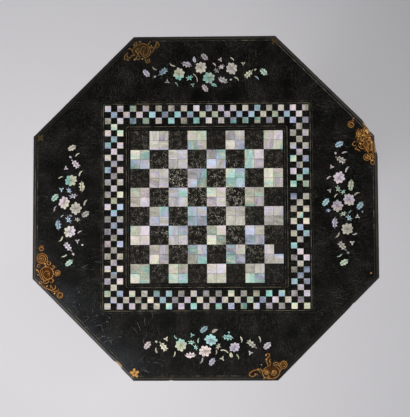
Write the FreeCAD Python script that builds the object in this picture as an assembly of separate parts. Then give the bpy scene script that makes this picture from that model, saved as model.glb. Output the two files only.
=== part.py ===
import FreeCAD, Part
import math
import os

# Whole table, in millimetres: floor at z = 0, middle of the top over the origin, player at -Y
table_height = 720.0
top_width = 580.0               # octagon, across its flats

# Build-up of the top
core_thickness = 19.0
inlay_thickness = 1.0           # lacquer and mother-of-pearl together
lipping_width = 6.0
lipping_round = 5.0
core_board_count = 4
dowel_diameter = 8.0
dowel_length = 60.0
dowel_place_shares = (-0.3, 0.0, 0.3)       # along each glue joint, of the core's width

# Playing surface: the border's corners stand clear of the slanted sides, the board fills the border
corner_margin = 41.5
squares_across = 8
quarters = 2                    # tiles along the side of a light square
board_margin = 12.3             # plain lacquer between board and border
border_cells_inside = 27        # cells along the inner edge of the border
border_rows = 3
inlay_seam = 0.24               # lacquer line between neighbouring tiles
board_offset = 2.9              # hand-laid board and border lie this far right of the top's middle
border_drifts = (4.0, -4.5, -1.5, 0.0)      # how far hand-laid cells wander: top, right, bottom, left
lost_quarters = ((15, 3),)      # beds with no tile: column and row from the lower left
lost_border_cells = ((31, 19), (32, 10))

# Bearers under the top
bearer_width = 30.0
bearer_height = 28.0
bearer_length = 420.0
bearer_slope = 40.0             # length of the sloped ends
bearer_tip = 10.0               # height left at the ends
bearer_gap = 0.5                # between bearer and block
bearer_screw_place_shares = (-0.36, -0.06, 0.33)    # along the bearer, of its length

# Tilt block, pivot and keeper
block_size = 190.0
block_height = 26.0
tilt_gap = 0.3                  # under the flat top, and behind the block when the top is upright
pin_drop = 14.0                 # pivot axis below the underside
pin_diameter = 12.0
pin_seat = 40.0                 # length held in the block
running_fit = 0.05              # radial, also for sliding faces
keeper_width = 44.0
keeper_seat = 30.0              # length let into the block
keeper_reach = 9.0              # length standing out over the bolt
keeper_thickness = 3.0

# Sliding bolt under the front of the top
bolt_width = 16.0
bolt_thickness = 4.0
bolt_travel = 9.0
bolt_draw = 1.0                 # nose clear of the keeper when drawn
bolt_drop = 0.4                 # bolt below the keeper
bolt_overhang = 5.0             # nose past the front guide
bolt_nose_chamfer = 1.5
knob_diameter = 14.0
knob_height = 17.0
knob_stem = 5.0
knob_neck_share = 0.55          # of the knob's diameter
stop_gap = 0.5                  # knob to guide at either end of the travel
guide_length = 10.0
guide_thickness = 1.5
guide_foot = 8.0
plate_thickness = 1.5
plate_margin = 2.0
spring_thickness = 0.5
spring_width = 9.0
spring_tab = 5.0

# Column
capital_height = 18.0
capital_radius = 52.0
column_radius = 34.0            # at its fullest
upper_tenon_radius = 18.0
lower_tenon_radius = 21.0
lower_tenon_length = 90.0
tenon_shoulder = 0.2            # how far the upper tenon stops short of the block's top
wedge_depth = 22.0
wedge_thickness = 4.0

# Hub and legs
hub_bottom = 112.0
hub_height = 128.0
hub_radius = 56.0
hub_flat = 48.0                 # distance of the leg seats from the axis
leg_reach = 240.0               # toe from the axis
leg_root = 98.0                 # height of the leg where it meets the hub
leg_thickness = 34.0
leg_ledge = 46.0                # flat under the leg for the iron strap
toe_height = 17.0
toe_flat = 44.0
dovetail_depth = 15.0
dovetail_neck = 14.0
dovetail_tail = 22.0
dovetail_height = 80.0
joint_fit = 0.05

# Iron strap under hub and legs
strap_width = 22.0
strap_thickness = 2.5
strap_end = 8.0                 # strap past its outer screw

# Countersunk slotted screws
screw_fit = 0.05
bearer_screw_head = 9.0
bearer_screw_shank = 5.0
bearer_screw_bite = 12.0
bolt_screw_head = 5.0
bolt_screw_shank = 2.6
bolt_screw_bite = 9.0
keeper_screw_head = 6.0
keeper_screw_shank = 3.2
keeper_screw_bite = 14.0
strap_screw_head = 8.0
strap_screw_shank = 4.2
strap_screw_bite = 10.0
slot_width_share = 0.13         # of the head
slot_depth_share = 0.5          # of the countersink

overrun = 5.0                   # cuts reach this far past the faces they open

# Levels and places worked out from the sizes above
core_width = top_width - 2 * lipping_width
core_top = table_height - inlay_thickness
underside = core_top - core_thickness
border_cells = border_cells_inside + 2 * border_rows
border_half = (core_width / 2 - corner_margin) / math.sqrt(2)
border_pitch = 2 * border_half / border_cells
board_half = border_half - border_rows * border_pitch - board_margin
square = 2 * board_half / squares_across
field_depth = core_width / 2 - border_half
field_middle = border_half + field_depth / 2

block_top = underside - tilt_gap
block_bottom = block_top - block_height
block_half = block_size / 2
pin_z = underside - pin_drop
pin_y = block_half - pin_drop + tilt_gap
bearer_inner = block_half + bearer_gap
bearer_middle = bearer_inner + bearer_width / 2

keeper_bottom = block_top - keeper_thickness
keeper_nose = -block_half - keeper_reach
bolt_top = keeper_bottom - bolt_drop
bolt_bottom = bolt_top - bolt_thickness
bolt_nose = keeper_nose - bolt_draw
front_guide = bolt_nose - bolt_overhang - guide_length / 2
guide_pitch = guide_length + knob_diameter + bolt_travel + 2 * stop_gap
rear_guide = front_guide - guide_pitch
bolt_tail = rear_guide - guide_length / 2 - bolt_travel - bolt_overhang / 2
knob_y = rear_guide + guide_length / 2 + stop_gap + knob_diameter / 2
plate_bottom = underside - plate_thickness
guide_half = bolt_width / 2 + running_fit + guide_thickness
guide_screw_x = guide_half + guide_foot / 2

capital_bottom = block_bottom - capital_height
hub_top = hub_bottom + hub_height
leg_top = hub_bottom + leg_root
leg_angles = {"leg_rear": 90, "leg_front_left": 210, "leg_front_right": 330}
strap_screw_radius = hub_flat + leg_ledge - strap_end - strap_screw_head / 2

# Flower sprays: kind, place right of and above the middle of the field, length, width and turn of each piece
# (all but the turn as shares of the field's depth)
spray_shares = {
    "spray_top": (
        ("rose_leaf", -0.873, -0.012, 0.146, 0.086, -47),
        ("sepal", -0.754, 0.062, 0.088, 0.044, -238),
        ("bud", -0.744, -0.062, 0.044, 0.032, 35),
        ("holly_leaf", -0.628, 0.008, 0.176, 0.096, 37),
        ("trefoil", -0.561, -0.138, 0.078, 0.078, 90),
        ("sepal", -0.484, 0.112, 0.098, 0.046, -230),
        ("flower", -0.385, -0.025, 0.202, 0.178, 80),
        ("sepal", -0.420, -0.180, 0.084, 0.034, -75),
        ("arched_leaf", -0.269, 0.117, 0.178, 0.098, -12),
        ("sprig", -0.224, -0.085, 0.124, 0.084, 12),
        ("stem", -0.130, -0.082, 0.140, 0.038, -58),
        ("trefoil", -0.179, -0.190, 0.074, 0.074, -80),
        ("bud", -0.152, 0.194, 0.102, 0.050, 105),
        ("flower", -0.056, 0.070, 0.192, 0.186, 24),
        ("rose_leaf", 0.002, 0.230, 0.134, 0.084, -42),
        ("flower", 0.063, -0.086, 0.196, 0.184, 0),
        ("rose_leaf", 0.010, -0.246, 0.140, 0.080, -52),
        ("bud", 0.142, -0.197, 0.100, 0.046, -20),
        ("sepal", 0.150, 0.113, 0.072, 0.036, -70),
        ("sprig", 0.178, 0.020, 0.100, 0.070, -52),
        ("sprig", 0.256, 0.078, 0.112, 0.072, 12),
        ("trefoil", 0.236, 0.190, 0.082, 0.082, 62),
        ("arched_leaf", 0.277, -0.119, 0.182, 0.098, 158),
        ("bud", 0.396, -0.117, 0.036, 0.026, 20),
        ("flower", 0.407, 0.052, 0.200, 0.180, 95),
        ("sepal", 0.418, 0.196, 0.080, 0.036, -65),
        ("sepal", 0.482, -0.104, 0.100, 0.044, -60),
        ("trefoil", 0.581, 0.125, 0.078, 0.078, -90),
        ("holly_leaf", 0.664, -0.028, 0.174, 0.094, 222),
        ("bud", 0.764, 0.032, 0.044, 0.030, 40),
        ("sepal", 0.787, -0.093, 0.086, 0.040, -65),
        ("rose_leaf", 0.890, -0.005, 0.138, 0.094, -40),
    ),
    "spray_right": (
        ("rose_leaf", -0.018, 0.922, 0.146, 0.090, 30),
        ("sepal", 0.058, 0.795, 0.088, 0.036, -5),
        ("bud", -0.076, 0.784, 0.044, 0.032, -50),
        ("holly_leaf", -0.004, 0.690, 0.176, 0.102, -30),
        ("trefoil", -0.136, 0.582, 0.080, 0.080, -5),
        ("sepal", 0.094, 0.545, 0.108, 0.050, 38),
        ("sepal", -0.180, 0.421, 0.082, 0.036, 14),
        ("flower", -0.027, 0.421, 0.198, 0.182, 50),
        ("rose_leaf", 0.146, 0.311, 0.182, 0.092, 86),
        ("trefoil", -0.170, 0.228, 0.076, 0.076, 168),
        ("sprig", -0.044, 0.248, 0.124, 0.076, -70),
        ("sepal", -0.076, 0.154, 0.080, 0.034, 28),
        ("sprig", 0.032, 0.208, 0.088, 0.064, 30),
        ("sepal", 0.232, 0.178, 0.098, 0.044, 8),
        ("flower", 0.116, 0.090, 0.200, 0.180, 110),
        ("rose_leaf", -0.228, 0.058, 0.146, 0.086, 52),
        ("flower", -0.058, -0.002, 0.190, 0.178, 70),
        ("rose_leaf", 0.279, 0.004, 0.144, 0.088, 56),
        ("sprig", -0.190, -0.070, 0.084, 0.052, -10),
        ("sprig", 0.030, -0.120, 0.124, 0.070, 16),
        ("sepal", 0.132, -0.090, 0.070, 0.032, 22),
        ("sprig", 0.114, -0.184, 0.120, 0.080, -55),
        ("bud", 0.313, -0.090, 0.034, 0.026, 90),
        ("trefoil", 0.237, -0.162, 0.084, 0.084, 90),
        ("arched_leaf", -0.096, -0.253, 0.182, 0.094, 91),
        ("flower", 0.084, -0.343, 0.194, 0.182, 30),
        ("sepal", -0.060, -0.438, 0.108, 0.048, 212),
        ("sepal", 0.190, -0.420, 0.080, 0.036, 172),
        ("holly_leaf", 0.010, -0.598, 0.178, 0.098, 130),
        ("bud", 0.092, -0.700, 0.048, 0.034, -40),
        ("trefoil", 0.154, -0.549, 0.084, 0.084, -88),
        ("sepal", -0.034, -0.740, 0.092, 0.038, 190),
        ("rose_leaf", 0.033, -0.838, 0.144, 0.090, 34),
    ),
    "spray_bottom": (
        ("rose_leaf", -0.857, -0.025, 0.148, 0.088, 52),
        ("bud", -0.728, 0.022, 0.048, 0.030, -50),
        ("sepal", -0.727, -0.100, 0.092, 0.040, 80),
        ("holly_leaf", -0.626, -0.046, 0.176, 0.096, -52),
        ("trefoil", -0.583, 0.066, 0.084, 0.084, 175),
        ("sepal", -0.444, 0.090, 0.076, 0.034, 105),
        ("flower", -0.364, -0.026, 0.202, 0.180, 80),
        ("sepal", -0.460, -0.160, 0.088, 0.034, 236),
        ("trefoil", -0.198, 0.120, 0.080, 0.080, 0),
        ("arched_leaf", -0.222, -0.172, 0.184, 0.096, 187),
        ("sprig", -0.206, 0.010, 0.122, 0.074, -8),
        ("sepal", -0.106, 0.040, 0.076, 0.034, 60),
        ("sprig", -0.146, -0.062, 0.092, 0.064, -75),
        ("flower", -0.008, -0.116, 0.200, 0.176, 5),
        ("rose_leaf", -0.021, 0.206, 0.146, 0.084, 42),
        ("sepal", -0.057, -0.254, 0.098, 0.044, 224),
        ("flower", 0.080, 0.050, 0.204, 0.172, -25),
        ("bud", 0.137, 0.182, 0.104, 0.046, 32),
        ("arched_leaf", 0.330, 0.082, 0.184, 0.092, -4),
        ("bud", 0.347, 0.156, 0.042, 0.028, -35),
        ("flower", 0.428, -0.060, 0.174, 0.146, 20),
        ("sepal", 0.528, 0.052, 0.098, 0.046, -100),
        ("sepal", 0.476, -0.200, 0.086, 0.034, -85),
        ("bud", 0.376, -0.172, 0.080, 0.052, 110),
        ("stem", 0.282, -0.116, 0.124, 0.040, -12),
        ("sprig", 0.190, -0.046, 0.104, 0.074, 50),
        ("sepal", 0.158, -0.132, 0.078, 0.032, 245),
        ("trefoil", 0.246, -0.224, 0.086, 0.086, 185),
        ("rose_leaf", 0.097, -0.270, 0.136, 0.086, 58),
        ("holly_leaf", 0.684, -0.018, 0.186, 0.092, 140),
        ("sepal", 0.802, 0.056, 0.094, 0.036, -92),
        ("trefoil", 0.660, -0.144, 0.082, 0.082, 5),
        ("rose_leaf", 0.912, -0.036, 0.144, 0.094, 46),
    ),
    "spray_left": (
        ("rose_leaf", 0.036, 0.894, 0.142, 0.086, 30),
        ("sepal", 0.116, 0.790, 0.088, 0.036, 20),
        ("bud", 0.010, 0.752, 0.048, 0.034, -30),
        ("holly_leaf", 0.084, 0.650, 0.170, 0.098, -48),
        ("trefoil", -0.056, 0.586, 0.076, 0.076, 95),
        ("sepal", 0.162, 0.510, 0.098, 0.046, 38),
        ("sepal", -0.132, 0.448, 0.080, 0.036, 0),
        ("flower", 0.020, 0.402, 0.202, 0.178, 15),
        ("arched_leaf", 0.180, 0.310, 0.182, 0.096, -83),
        ("trefoil", -0.122, 0.267, 0.084, 0.084, -90),
        ("sprig", -0.008, 0.248, 0.106, 0.070, -65),
        ("sprig", 0.058, 0.166, 0.148, 0.082, 8),
        ("rose_leaf", -0.217, 0.149, 0.144, 0.090, 50),
        ("flower", -0.081, 0.067, 0.204, 0.172, 80),
        ("sepal", 0.236, 0.070, 0.106, 0.048, 42),
        ("sepal", -0.216, -0.018, 0.100, 0.042, 48),
        ("flower", 0.094, -0.018, 0.200, 0.180, 70),
        ("sepal", -0.108, -0.132, 0.062, 0.028, 15),
        ("sprig", -0.012, -0.190, 0.140, 0.082, -62),
        ("bud", 0.018, -0.128, 0.056, 0.030, -15),
        ("sprig", 0.122, -0.186, 0.098, 0.064, -20),
        ("rose_leaf", 0.242, -0.102, 0.138, 0.090, 36),
        ("arched_leaf", -0.164, -0.262, 0.178, 0.096, 101),
        ("flower", 0.005, -0.363, 0.200, 0.180, 35),
        ("sepal", 0.156, -0.370, 0.080, 0.032, 10),
        ("sepal", -0.124, -0.476, 0.100, 0.046, 212),
        ("trefoil", 0.120, -0.507, 0.084, 0.084, -85),
        ("bud", 0.196, -0.564, 0.034, 0.026, 40),
        ("holly_leaf", -0.017, -0.593, 0.176, 0.094, 130),
        ("bud", 0.058, -0.702, 0.046, 0.034, -50),
        ("sepal", -0.075, -0.726, 0.090, 0.038, 182),
        ("rose_leaf", -0.001, -0.828, 0.146, 0.082, 40),
    ),
}
# The side that each spray lies on, right of and above the board
spray_sides = {"spray_top": (0, 1), "spray_right": (1, 0), "spray_bottom": (0, -1), "spray_left": (-1, 0)}
# Outlines of the spray's pieces, as shares of their length and width
rose_leaf_shares = (
    (-0.50, 0.02), (-0.36, 0.36), (-0.22, 0.28), (-0.12, 0.50), (0.04, 0.34), (0.18, 0.44), (0.28, 0.24),
    (0.50, -0.04), (0.32, -0.22), (0.20, -0.46), (0.06, -0.34), (-0.10, -0.50), (-0.22, -0.28), (-0.38, -0.32),
)
holly_leaf_shares = (
    (-0.50, 0.06), (-0.28, 0.10), (-0.18, 0.44), (-0.04, 0.24), (0.10, 0.50), (0.20, 0.26), (0.42, 0.44),
    (0.36, 0.14), (0.50, -0.02), (0.36, -0.14), (0.38, -0.44), (0.18, -0.24), (0.06, -0.50), (-0.06, -0.22),
    (-0.22, -0.36), (-0.30, -0.08), (-0.50, -0.10),
)
arched_leaf_shares = (
    (-0.50, 0.12), (-0.36, 0.18), (-0.28, 0.40), (-0.12, 0.32), (0.04, 0.50), (0.22, 0.36), (0.36, 0.14),
    (0.50, -0.14), (0.34, -0.08), (0.28, -0.38), (0.14, -0.16), (0.02, -0.50), (-0.10, -0.16), (-0.28, -0.36),
    (-0.32, -0.04),
)
sepal_shares = (
    (-0.50, -0.44), (-0.34, -0.02), (-0.08, 0.36), (0.20, 0.46), (0.50, 0.24), (0.24, 0.12), (0.00, -0.06),
    (-0.22, -0.40), (-0.40, -0.50),
)
bud_shares = (
    (-0.50, 0.10), (-0.26, 0.44), (0.04, 0.50), (0.30, 0.26), (0.50, -0.20), (0.22, -0.30), (-0.10, -0.40),
    (-0.40, -0.28),
)
sprig_shares = (
    (0.50, 0.10), (0.20, 0.14), (0.30, 0.46), (0.04, 0.22), (-0.14, 0.50), (-0.16, 0.14), (-0.50, 0.22),
    (-0.24, -0.06), (-0.42, -0.40), (-0.08, -0.20), (0.12, -0.50), (0.16, -0.12),
)
stem_shares = (
    (-0.50, 0.14), (-0.22, 0.46), (0.14, 0.36), (0.50, -0.28), (0.44, -0.50), (0.10, 0.00), (-0.20, 0.08),
    (-0.46, -0.22),
)
trefoil_ring_shares = (1.0, 0.52, 0.30, 0.52)
petal_ring_shares = (0.74, 0.92, 1.0, 0.92)
petal_shares = (1.0, 0.93, 0.98, 0.90, 1.0, 0.95, 0.99, 0.91)

# Turned outlines: radius as a share of the fullest radius, height as a share of the turned length
column_foot_shares = ((0.98, 0.0), (1.06, 0.018), (0.98, 0.036))
column_vase_shares = ((0.66, 0.060), (0.80, 0.110), (1.0, 0.215), (0.86, 0.340), (0.58, 0.520), (0.47, 0.690))
column_ring_shares = ((0.47, 0.705), (0.74, 0.726), (0.47, 0.747))
column_neck_shares = ((0.44, 0.790), (0.48, 0.870), (0.66, 0.955), (0.90, 1.0))
capital_outline_shares = ((0.62, 0.0), (0.62, 0.14), (0.70, 0.42), (0.90, 0.62), (1.0, 0.66), (1.0, 1.0))
hub_outline_shares = (
    (0.84, 0.0), (0.96, 0.06), (1.0, 0.14), (1.0, 0.76), (0.93, 0.84), (0.74, 0.90), (0.72, 1.0),
)

# Leg outline: distance from hub seat to toe, and height, as shares
leg_back_shares = ((0.0, 1.0), (0.16, 0.985), (0.34, 0.86), (0.52, 0.58), (0.68, 0.31), (0.83, 0.145))
leg_belly_shares = ((0.36, 0.83), (0.50, 0.50), (0.64, 0.17))

def vec(x, y, z):
    return FreeCAD.Vector(x, y, z)

def outline_wire(points, z):
    corners = [vec(x, y, z) for x, y in points]
    return Part.makePolygon(corners + corners[:1])

def clockwise(points):
    doubled = sum(a[0] * b[1] - b[0] * a[1] for a, b in zip(points, points[1:] + points[:1]))
    return points if doubled < 0 else points[::-1]

def slab(points, z, height):
    return Part.Face(outline_wire(points, z)).extrude(vec(0, 0, height))

def block(x0, x1, y0, y1, z0, z1):
    return Part.makeBox(x1 - x0, y1 - y0, z1 - z0, vec(x0, y0, z0))

def rectangle(x0, x1, y0, y1):
    return [(x0, y0), (x1, y0), (x1, y1), (x0, y1)]

def turned(edges):
    return Part.Face(Part.Wire(edges)).revolve(vec(0, 0, 0), vec(0, 0, 1), 360)

def chain(points):
    corners = [vec(r, 0, z) for r, z in points]
    return [Part.LineSegment(a, b).toShape() for a, b in zip(corners, corners[1:])]

def arc(points):
    return Part.Arc(*[vec(r, 0, z) for r, z in points]).toShape()

def curve(points):
    line = Part.BSplineCurve()
    line.interpolate([vec(r, 0, z) for r, z in points])
    return line.toShape()

def cylinder_along(axis, radius, length, start):
    return Part.makeCylinder(radius, length, start, axis)

def single(shape):
    return shape.removeSplitter().Solids[0]

def write_node(name, solids):
    shape = solids[0] if len(solids) == 1 else Part.makeCompound(solids)
    shape.exportStep(os.path.join("parts", name + ".step"))
    print(name, len(solids), round(shape.Volume, 1))

# Screws stand on their heads at (x, y, z) and point up, or down where way is -1
def screw_body(x, y, z, way, head, shank, length, grow):
    head_r = head / 2 + grow
    shank_r = shank / 2 + grow
    sink = way * (head - shank) / 2
    taper = z + way * (length - shank)
    points = [(0, z), (head_r, z), (shank_r, z + sink), (shank_r, taper), (0, z + way * length)]
    body = turned(chain(points + points[:1]))
    body.translate(vec(x, y, 0))
    return body

def screw(x, y, z, way, head, shank, length):
    body = screw_body(x, y, z, way, head, shank, length, 0)
    deep = slot_depth_share * (head - shank) / 2
    half = slot_width_share * head / 2
    low = min(z, z + way * deep)
    return body.cut(block(x - head, x + head, y - half, y + half, low, low + deep))

def screw_hole(x, y, z, way, head, shank, length):
    return screw_body(x, y, z, way, head, shank, length, screw_fit)

# Places and sizes of all screws, as arguments of the two functions above
bearer_screws = []
for side in (-1, 1):
    for share in bearer_screw_place_shares:
        place = (side * bearer_middle, share * bearer_length, underside - bearer_height, 1)
        length = bearer_height + bearer_screw_bite
        bearer_screws.append(place + (bearer_screw_head, bearer_screw_shank, length))
bolt_screws = []
for side in (-1, 1):
    for y in (front_guide, rear_guide):
        place = (side * guide_screw_x, y, plate_bottom - guide_thickness, 1)
        length = guide_thickness + plate_thickness + bolt_screw_bite
        bolt_screws.append(place + (bolt_screw_head, bolt_screw_shank, length))
keeper_screws = []
for side in (-1, 1):
    place = (side * keeper_width / 4, -block_half + keeper_seat / 2, block_top, -1)
    length = keeper_thickness + keeper_screw_bite
    keeper_screws.append(place + (keeper_screw_head, keeper_screw_shank, length))
strap_screws = []
for radius, angle in [(0, 0)] + [(strap_screw_radius, angle) for angle in leg_angles.values()]:
    turn = math.radians(angle)
    place = (radius * math.cos(turn), radius * math.sin(turn), hub_bottom - strap_thickness, 1)
    length = strap_thickness + strap_screw_bite
    strap_screws.append(place + (strap_screw_head, strap_screw_shank, length))

# Regular octagon with flats square to X and Y
def octagon(width):
    eighth = math.pi / 8
    reach = width / 2 / math.cos(eighth)
    turns = [eighth * (2 * k + 1) for k in range(8)]
    return [(reach * math.cos(turn), reach * math.sin(turn)) for turn in turns]

# Core: edge-jointed boards along X, dowelled across the joints
def dowel_places():
    pitch = core_width / core_board_count
    joints = [pitch * k - core_width / 2 for k in range(1, core_board_count)]
    return [(share * core_width, y) for y in joints for share in dowel_place_shares]

def dowels(grow):
    middle = core_top - core_thickness / 2
    length = dowel_length + 2 * grow
    radius = dowel_diameter / 2 + grow
    starts = [vec(x, y - length / 2, middle) for x, y in dowel_places()]
    return [cylinder_along(vec(0, 1, 0), radius, length, start) for start in starts]

def core_boards():
    whole = slab(octagon(core_width), underside, core_thickness)
    holes = dowels(joint_fit) + [screw_hole(*place) for place in bearer_screws + bolt_screws]
    pitch = core_width / core_board_count
    half = core_width / 2
    boards = []
    for k in range(core_board_count):
        y0 = pitch * k - half
        board = whole.common(block(-half, half, y0, y0 + pitch, underside, core_top))
        boards.append(board.cut(holes).Solids[0])
    return boards

# Lipping: a rounded strip along each side, mitred at the corners
def edge_lipping():
    inner = core_width / 2
    outer = top_width / 2
    bend = lipping_round
    diagonal = bend * (1 - math.sqrt(0.5))
    low = underside
    high = table_height
    edges = chain([(inner, high), (inner, low), (outer - bend, low)])
    edges += [arc([(outer - bend, low), (outer - diagonal, low + diagonal), (outer, low + bend)])]
    edges += chain([(outer, low + bend), (outer, high - bend)])
    edges += [arc([(outer, high - bend), (outer - diagonal, high - diagonal), (outer - bend, high)])]
    edges += chain([(outer - bend, high), (inner, high)])
    section = Part.Face(Part.Wire(edges))
    section.translate(vec(0, -outer, 0))
    strip = section.extrude(vec(0, top_width, 0))
    slope = math.tan(math.pi / 8)
    wedge = slab([(0, 0), (outer, -slope * outer), (outer, slope * outer)], low, high - low)
    mitred = strip.common(wedge).Solids[0]
    strips = []
    for k in range(8):
        copy = mitred.copy()
        copy.rotate(vec(0, 0, 0), vec(0, 0, 1), 45 * k)
        strips.append(copy)
    return strips

# Tiles of the board: four to a light square, lower left square light
def board_cells():
    size = square / quarters
    count = squares_across * quarters
    gap = inlay_seam / 2
    cells = {}
    for column in range(count):
        for row in range(count):
            if (column // quarters + row // quarters) % 2 == 0:
                x = column * size - board_half + board_offset
                y = row * size - board_half
                cells[column, row] = rectangle(x + gap, x + size - gap, y + gap, y + size - gap)
    return cells

# Tiles of the border: every second cell, their lines wandering a little at mid side
def border_edge(index, drift):
    plain = index * border_pitch - border_half
    swing = plain / (border_half - border_rows * border_pitch)
    return plain + drift * max(0, 1 - swing * swing)

def border_cells_laid():
    top, right, bottom, left = border_drifts
    last = border_cells - border_rows
    gap = inlay_seam / 2
    cells = {}
    for i in range(border_cells):
        for j in range(border_cells):
            across = top if j >= last else bottom if j < border_rows else 0
            along = right if i >= last else left if i < border_rows else 0
            inside = border_rows <= i < last and border_rows <= j < last
            if (i + j) % 2 == 0 and not inside:
                x0, x1 = border_edge(i, across) + gap, border_edge(i + 1, across) - gap
                y0, y1 = border_edge(j, along) + gap, border_edge(j + 1, along) - gap
                cells[i, j] = rectangle(x0 + board_offset, x1 + board_offset, y0, y1)
    return cells

# Unit outlines of the spray's pieces, one long and one wide
def star_outline(lobe_shares, ring_shares):
    count = len(lobe_shares) * len(ring_shares)
    radii = [lobe * ring for lobe in lobe_shares for ring in ring_shares]
    turns = [2 * math.pi * k / count for k in range(count)]
    return [(r * math.cos(turn) / 2, r * math.sin(turn) / 2) for r, turn in zip(radii, turns)]

unit_outlines = {
    "rose_leaf": rose_leaf_shares,
    "holly_leaf": holly_leaf_shares,
    "arched_leaf": arched_leaf_shares,
    "sepal": sepal_shares,
    "bud": bud_shares,
    "sprig": sprig_shares,
    "stem": stem_shares,
    "flower": star_outline(petal_shares, petal_ring_shares),
    "trefoil": star_outline((1, 1, 1), trefoil_ring_shares),
}

def turned_by(points, degrees):
    c = math.cos(math.radians(degrees))
    s = math.sin(math.radians(degrees))
    return [(x * c - y * s, x * s + y * c) for x, y in points]

def spray_outlines(name):
    middle_x, middle_y = [side * field_middle for side in spray_sides[name]]
    outlines = []
    for kind, right, up, length, width, angle in spray_shares[name]:
        piece = turned_by([(x * length, y * width) for x, y in unit_outlines[kind]], angle)
        laid = [((x + right) * field_depth, (y + up) * field_depth) for x, y in piece]
        outlines.append([(middle_x + x, middle_y + y) for x, y in laid])
    return outlines

def inlay(outlines):
    return [slab(outline, core_top, inlay_thickness) for outline in outlines]

def lacquer_face(openings):
    wires = [outline_wire(octagon(core_width), core_top)]
    wires += [outline_wire(clockwise(outline), core_top) for outline in openings]
    return Part.Face(wires).extrude(vec(0, 0, inlay_thickness))

# Bearers: battens with sloped ends, bored for the pivot pins
def bearer(side):
    half = bearer_length / 2
    low = underside - bearer_height
    points = [
        (-half, underside), (half, underside), (half, underside - bearer_tip),
        (half - bearer_slope, low), (bearer_slope - half, low), (-half, underside - bearer_tip),
    ]
    corners = [vec(-bearer_width / 2, y, z) for y, z in points]
    body = Part.Face(Part.makePolygon(corners + corners[:1])).extrude(vec(bearer_width, 0, 0))
    body.translate(vec(side * bearer_middle, 0, 0))
    holes = [screw_hole(*place) for place in bearer_screws if place[0] * side > 0]
    start = vec(side * bearer_middle - bearer_width, pin_y, pin_z)
    holes.append(cylinder_along(vec(1, 0, 0), pin_diameter / 2 + running_fit, 2 * bearer_width, start))
    return body.cut(holes).Solids[0]

def pivot_pin(side, grow):
    radius = pin_diameter / 2 + grow
    length = pin_seat + bearer_gap + bearer_width + grow
    start = vec(side * (block_half - pin_seat - grow), pin_y, pin_z)
    return cylinder_along(vec(side, 0, 0), radius, length, start)

# Block: rear upper edge rounded about the pivot so that the top can swing past it
def tilt_block():
    body = block(-block_half, block_half, -block_half, block_half, block_bottom, block_top)
    corner = block(-block_half, block_half, pin_y, block_size, pin_z, block_top + overrun)
    bend = block_half - pin_y
    roller = cylinder_along(vec(1, 0, 0), bend, block_size, vec(-block_half, pin_y, pin_z)).common(corner)
    body = single(body.cut(corner).fuse(roller))
    deep = block_height + 2 * overrun
    bore = Part.makeCylinder(upper_tenon_radius + joint_fit, deep, vec(0, 0, block_bottom - overrun))
    half = keeper_width / 2 + joint_fit
    rear = -block_half + keeper_seat + joint_fit
    recess = block(-half, half, -block_size, rear, keeper_bottom, block_top + overrun)
    holes = [bore, recess, pivot_pin(-1, joint_fit), pivot_pin(1, joint_fit)]
    holes += [screw_hole(*place) for place in keeper_screws]
    return body.cut(holes).Solids[0]

def keeper_plate():
    half = keeper_width / 2
    body = block(-half, half, keeper_nose, -block_half + keeper_seat, keeper_bottom, block_top)
    return body.cut([screw_hole(*place) for place in keeper_screws]).Solids[0]

# Catch: plate and guides fixed to the top, bolt and knob sliding in them
def bolt_plate():
    half = guide_half + guide_foot
    body = block(-half, half, bolt_tail - plate_margin, bolt_nose - plate_margin, plate_bottom, underside)
    return body.cut([screw_hole(*place) for place in bolt_screws]).Solids[0]

def bolt_guide(y):
    inside = bolt_width / 2 + running_fit
    floor = bolt_bottom - running_fit
    points = [
        (-guide_half - guide_foot, plate_bottom), (-inside, plate_bottom), (-inside, floor), (inside, floor),
        (inside, plate_bottom), (guide_half + guide_foot, plate_bottom),
        (guide_half + guide_foot, plate_bottom - guide_thickness),
        (guide_half, plate_bottom - guide_thickness),
        (guide_half, floor - guide_thickness), (-guide_half, floor - guide_thickness),
        (-guide_half, plate_bottom - guide_thickness),
        (-guide_half - guide_foot, plate_bottom - guide_thickness),
    ]
    corners = [vec(x, y - guide_length / 2, z) for x, z in points]
    body = Part.Face(Part.makePolygon(corners + corners[:1])).extrude(vec(0, guide_length, 0))
    return body.cut([screw_hole(*place) for place in bolt_screws]).Solids[0]

def bolt_leaf_spring():
    first = rear_guide - guide_length / 2
    last = front_guide + guide_length / 2
    middle = (first + last) / 2
    high = plate_bottom
    low = bolt_top + running_fit + spring_thickness
    upper = [
        (first, high), (first + spring_tab, high), (middle - spring_tab, low), (middle + spring_tab, low),
        (last - spring_tab, high), (last, high),
    ]
    under = [(y, z - spring_thickness) for y, z in reversed(upper)]
    corners = [vec(-spring_width / 2, y, z) for y, z in upper + under]
    return Part.Face(Part.makePolygon(corners + corners[:1])).extrude(vec(spring_width, 0, 0))

def slide_bolt():
    half = bolt_width / 2
    cut = bolt_nose_chamfer
    points = [
        (-half, bolt_tail), (half, bolt_tail), (half, bolt_nose - cut), (half - cut, bolt_nose),
        (cut - half, bolt_nose), (-half, bolt_nose - cut),
    ]
    deep = bolt_thickness + 2 * overrun
    hole = Part.makeCylinder(knob_stem / 2 + joint_fit, deep, vec(0, knob_y, bolt_bottom - overrun))
    return slab(points, bolt_bottom, bolt_thickness).cut(hole).Solids[0]

def bolt_knob():
    ball = knob_diameter / 2
    stem = knob_stem / 2
    foot = bolt_bottom - knob_height
    middle = foot + ball
    neck = ball * knob_neck_share
    waist = middle + math.sqrt(ball * ball - neck * neck)
    edges = chain([(0, foot), (0, bolt_top), (stem, bolt_top), (stem, bolt_bottom), (neck, bolt_bottom)])
    edges += [*chain([(neck, bolt_bottom), (neck, waist)]), arc([(neck, waist), (ball, middle), (0, foot)])]
    body = turned(edges)
    body.translate(vec(0, knob_y, 0))
    return body

# Column: turned baluster with a tenon at each end, the upper one wedged
def scaled(shares, radius, low, length):
    return [(r * radius, low + z * length) for r, z in shares]

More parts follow.
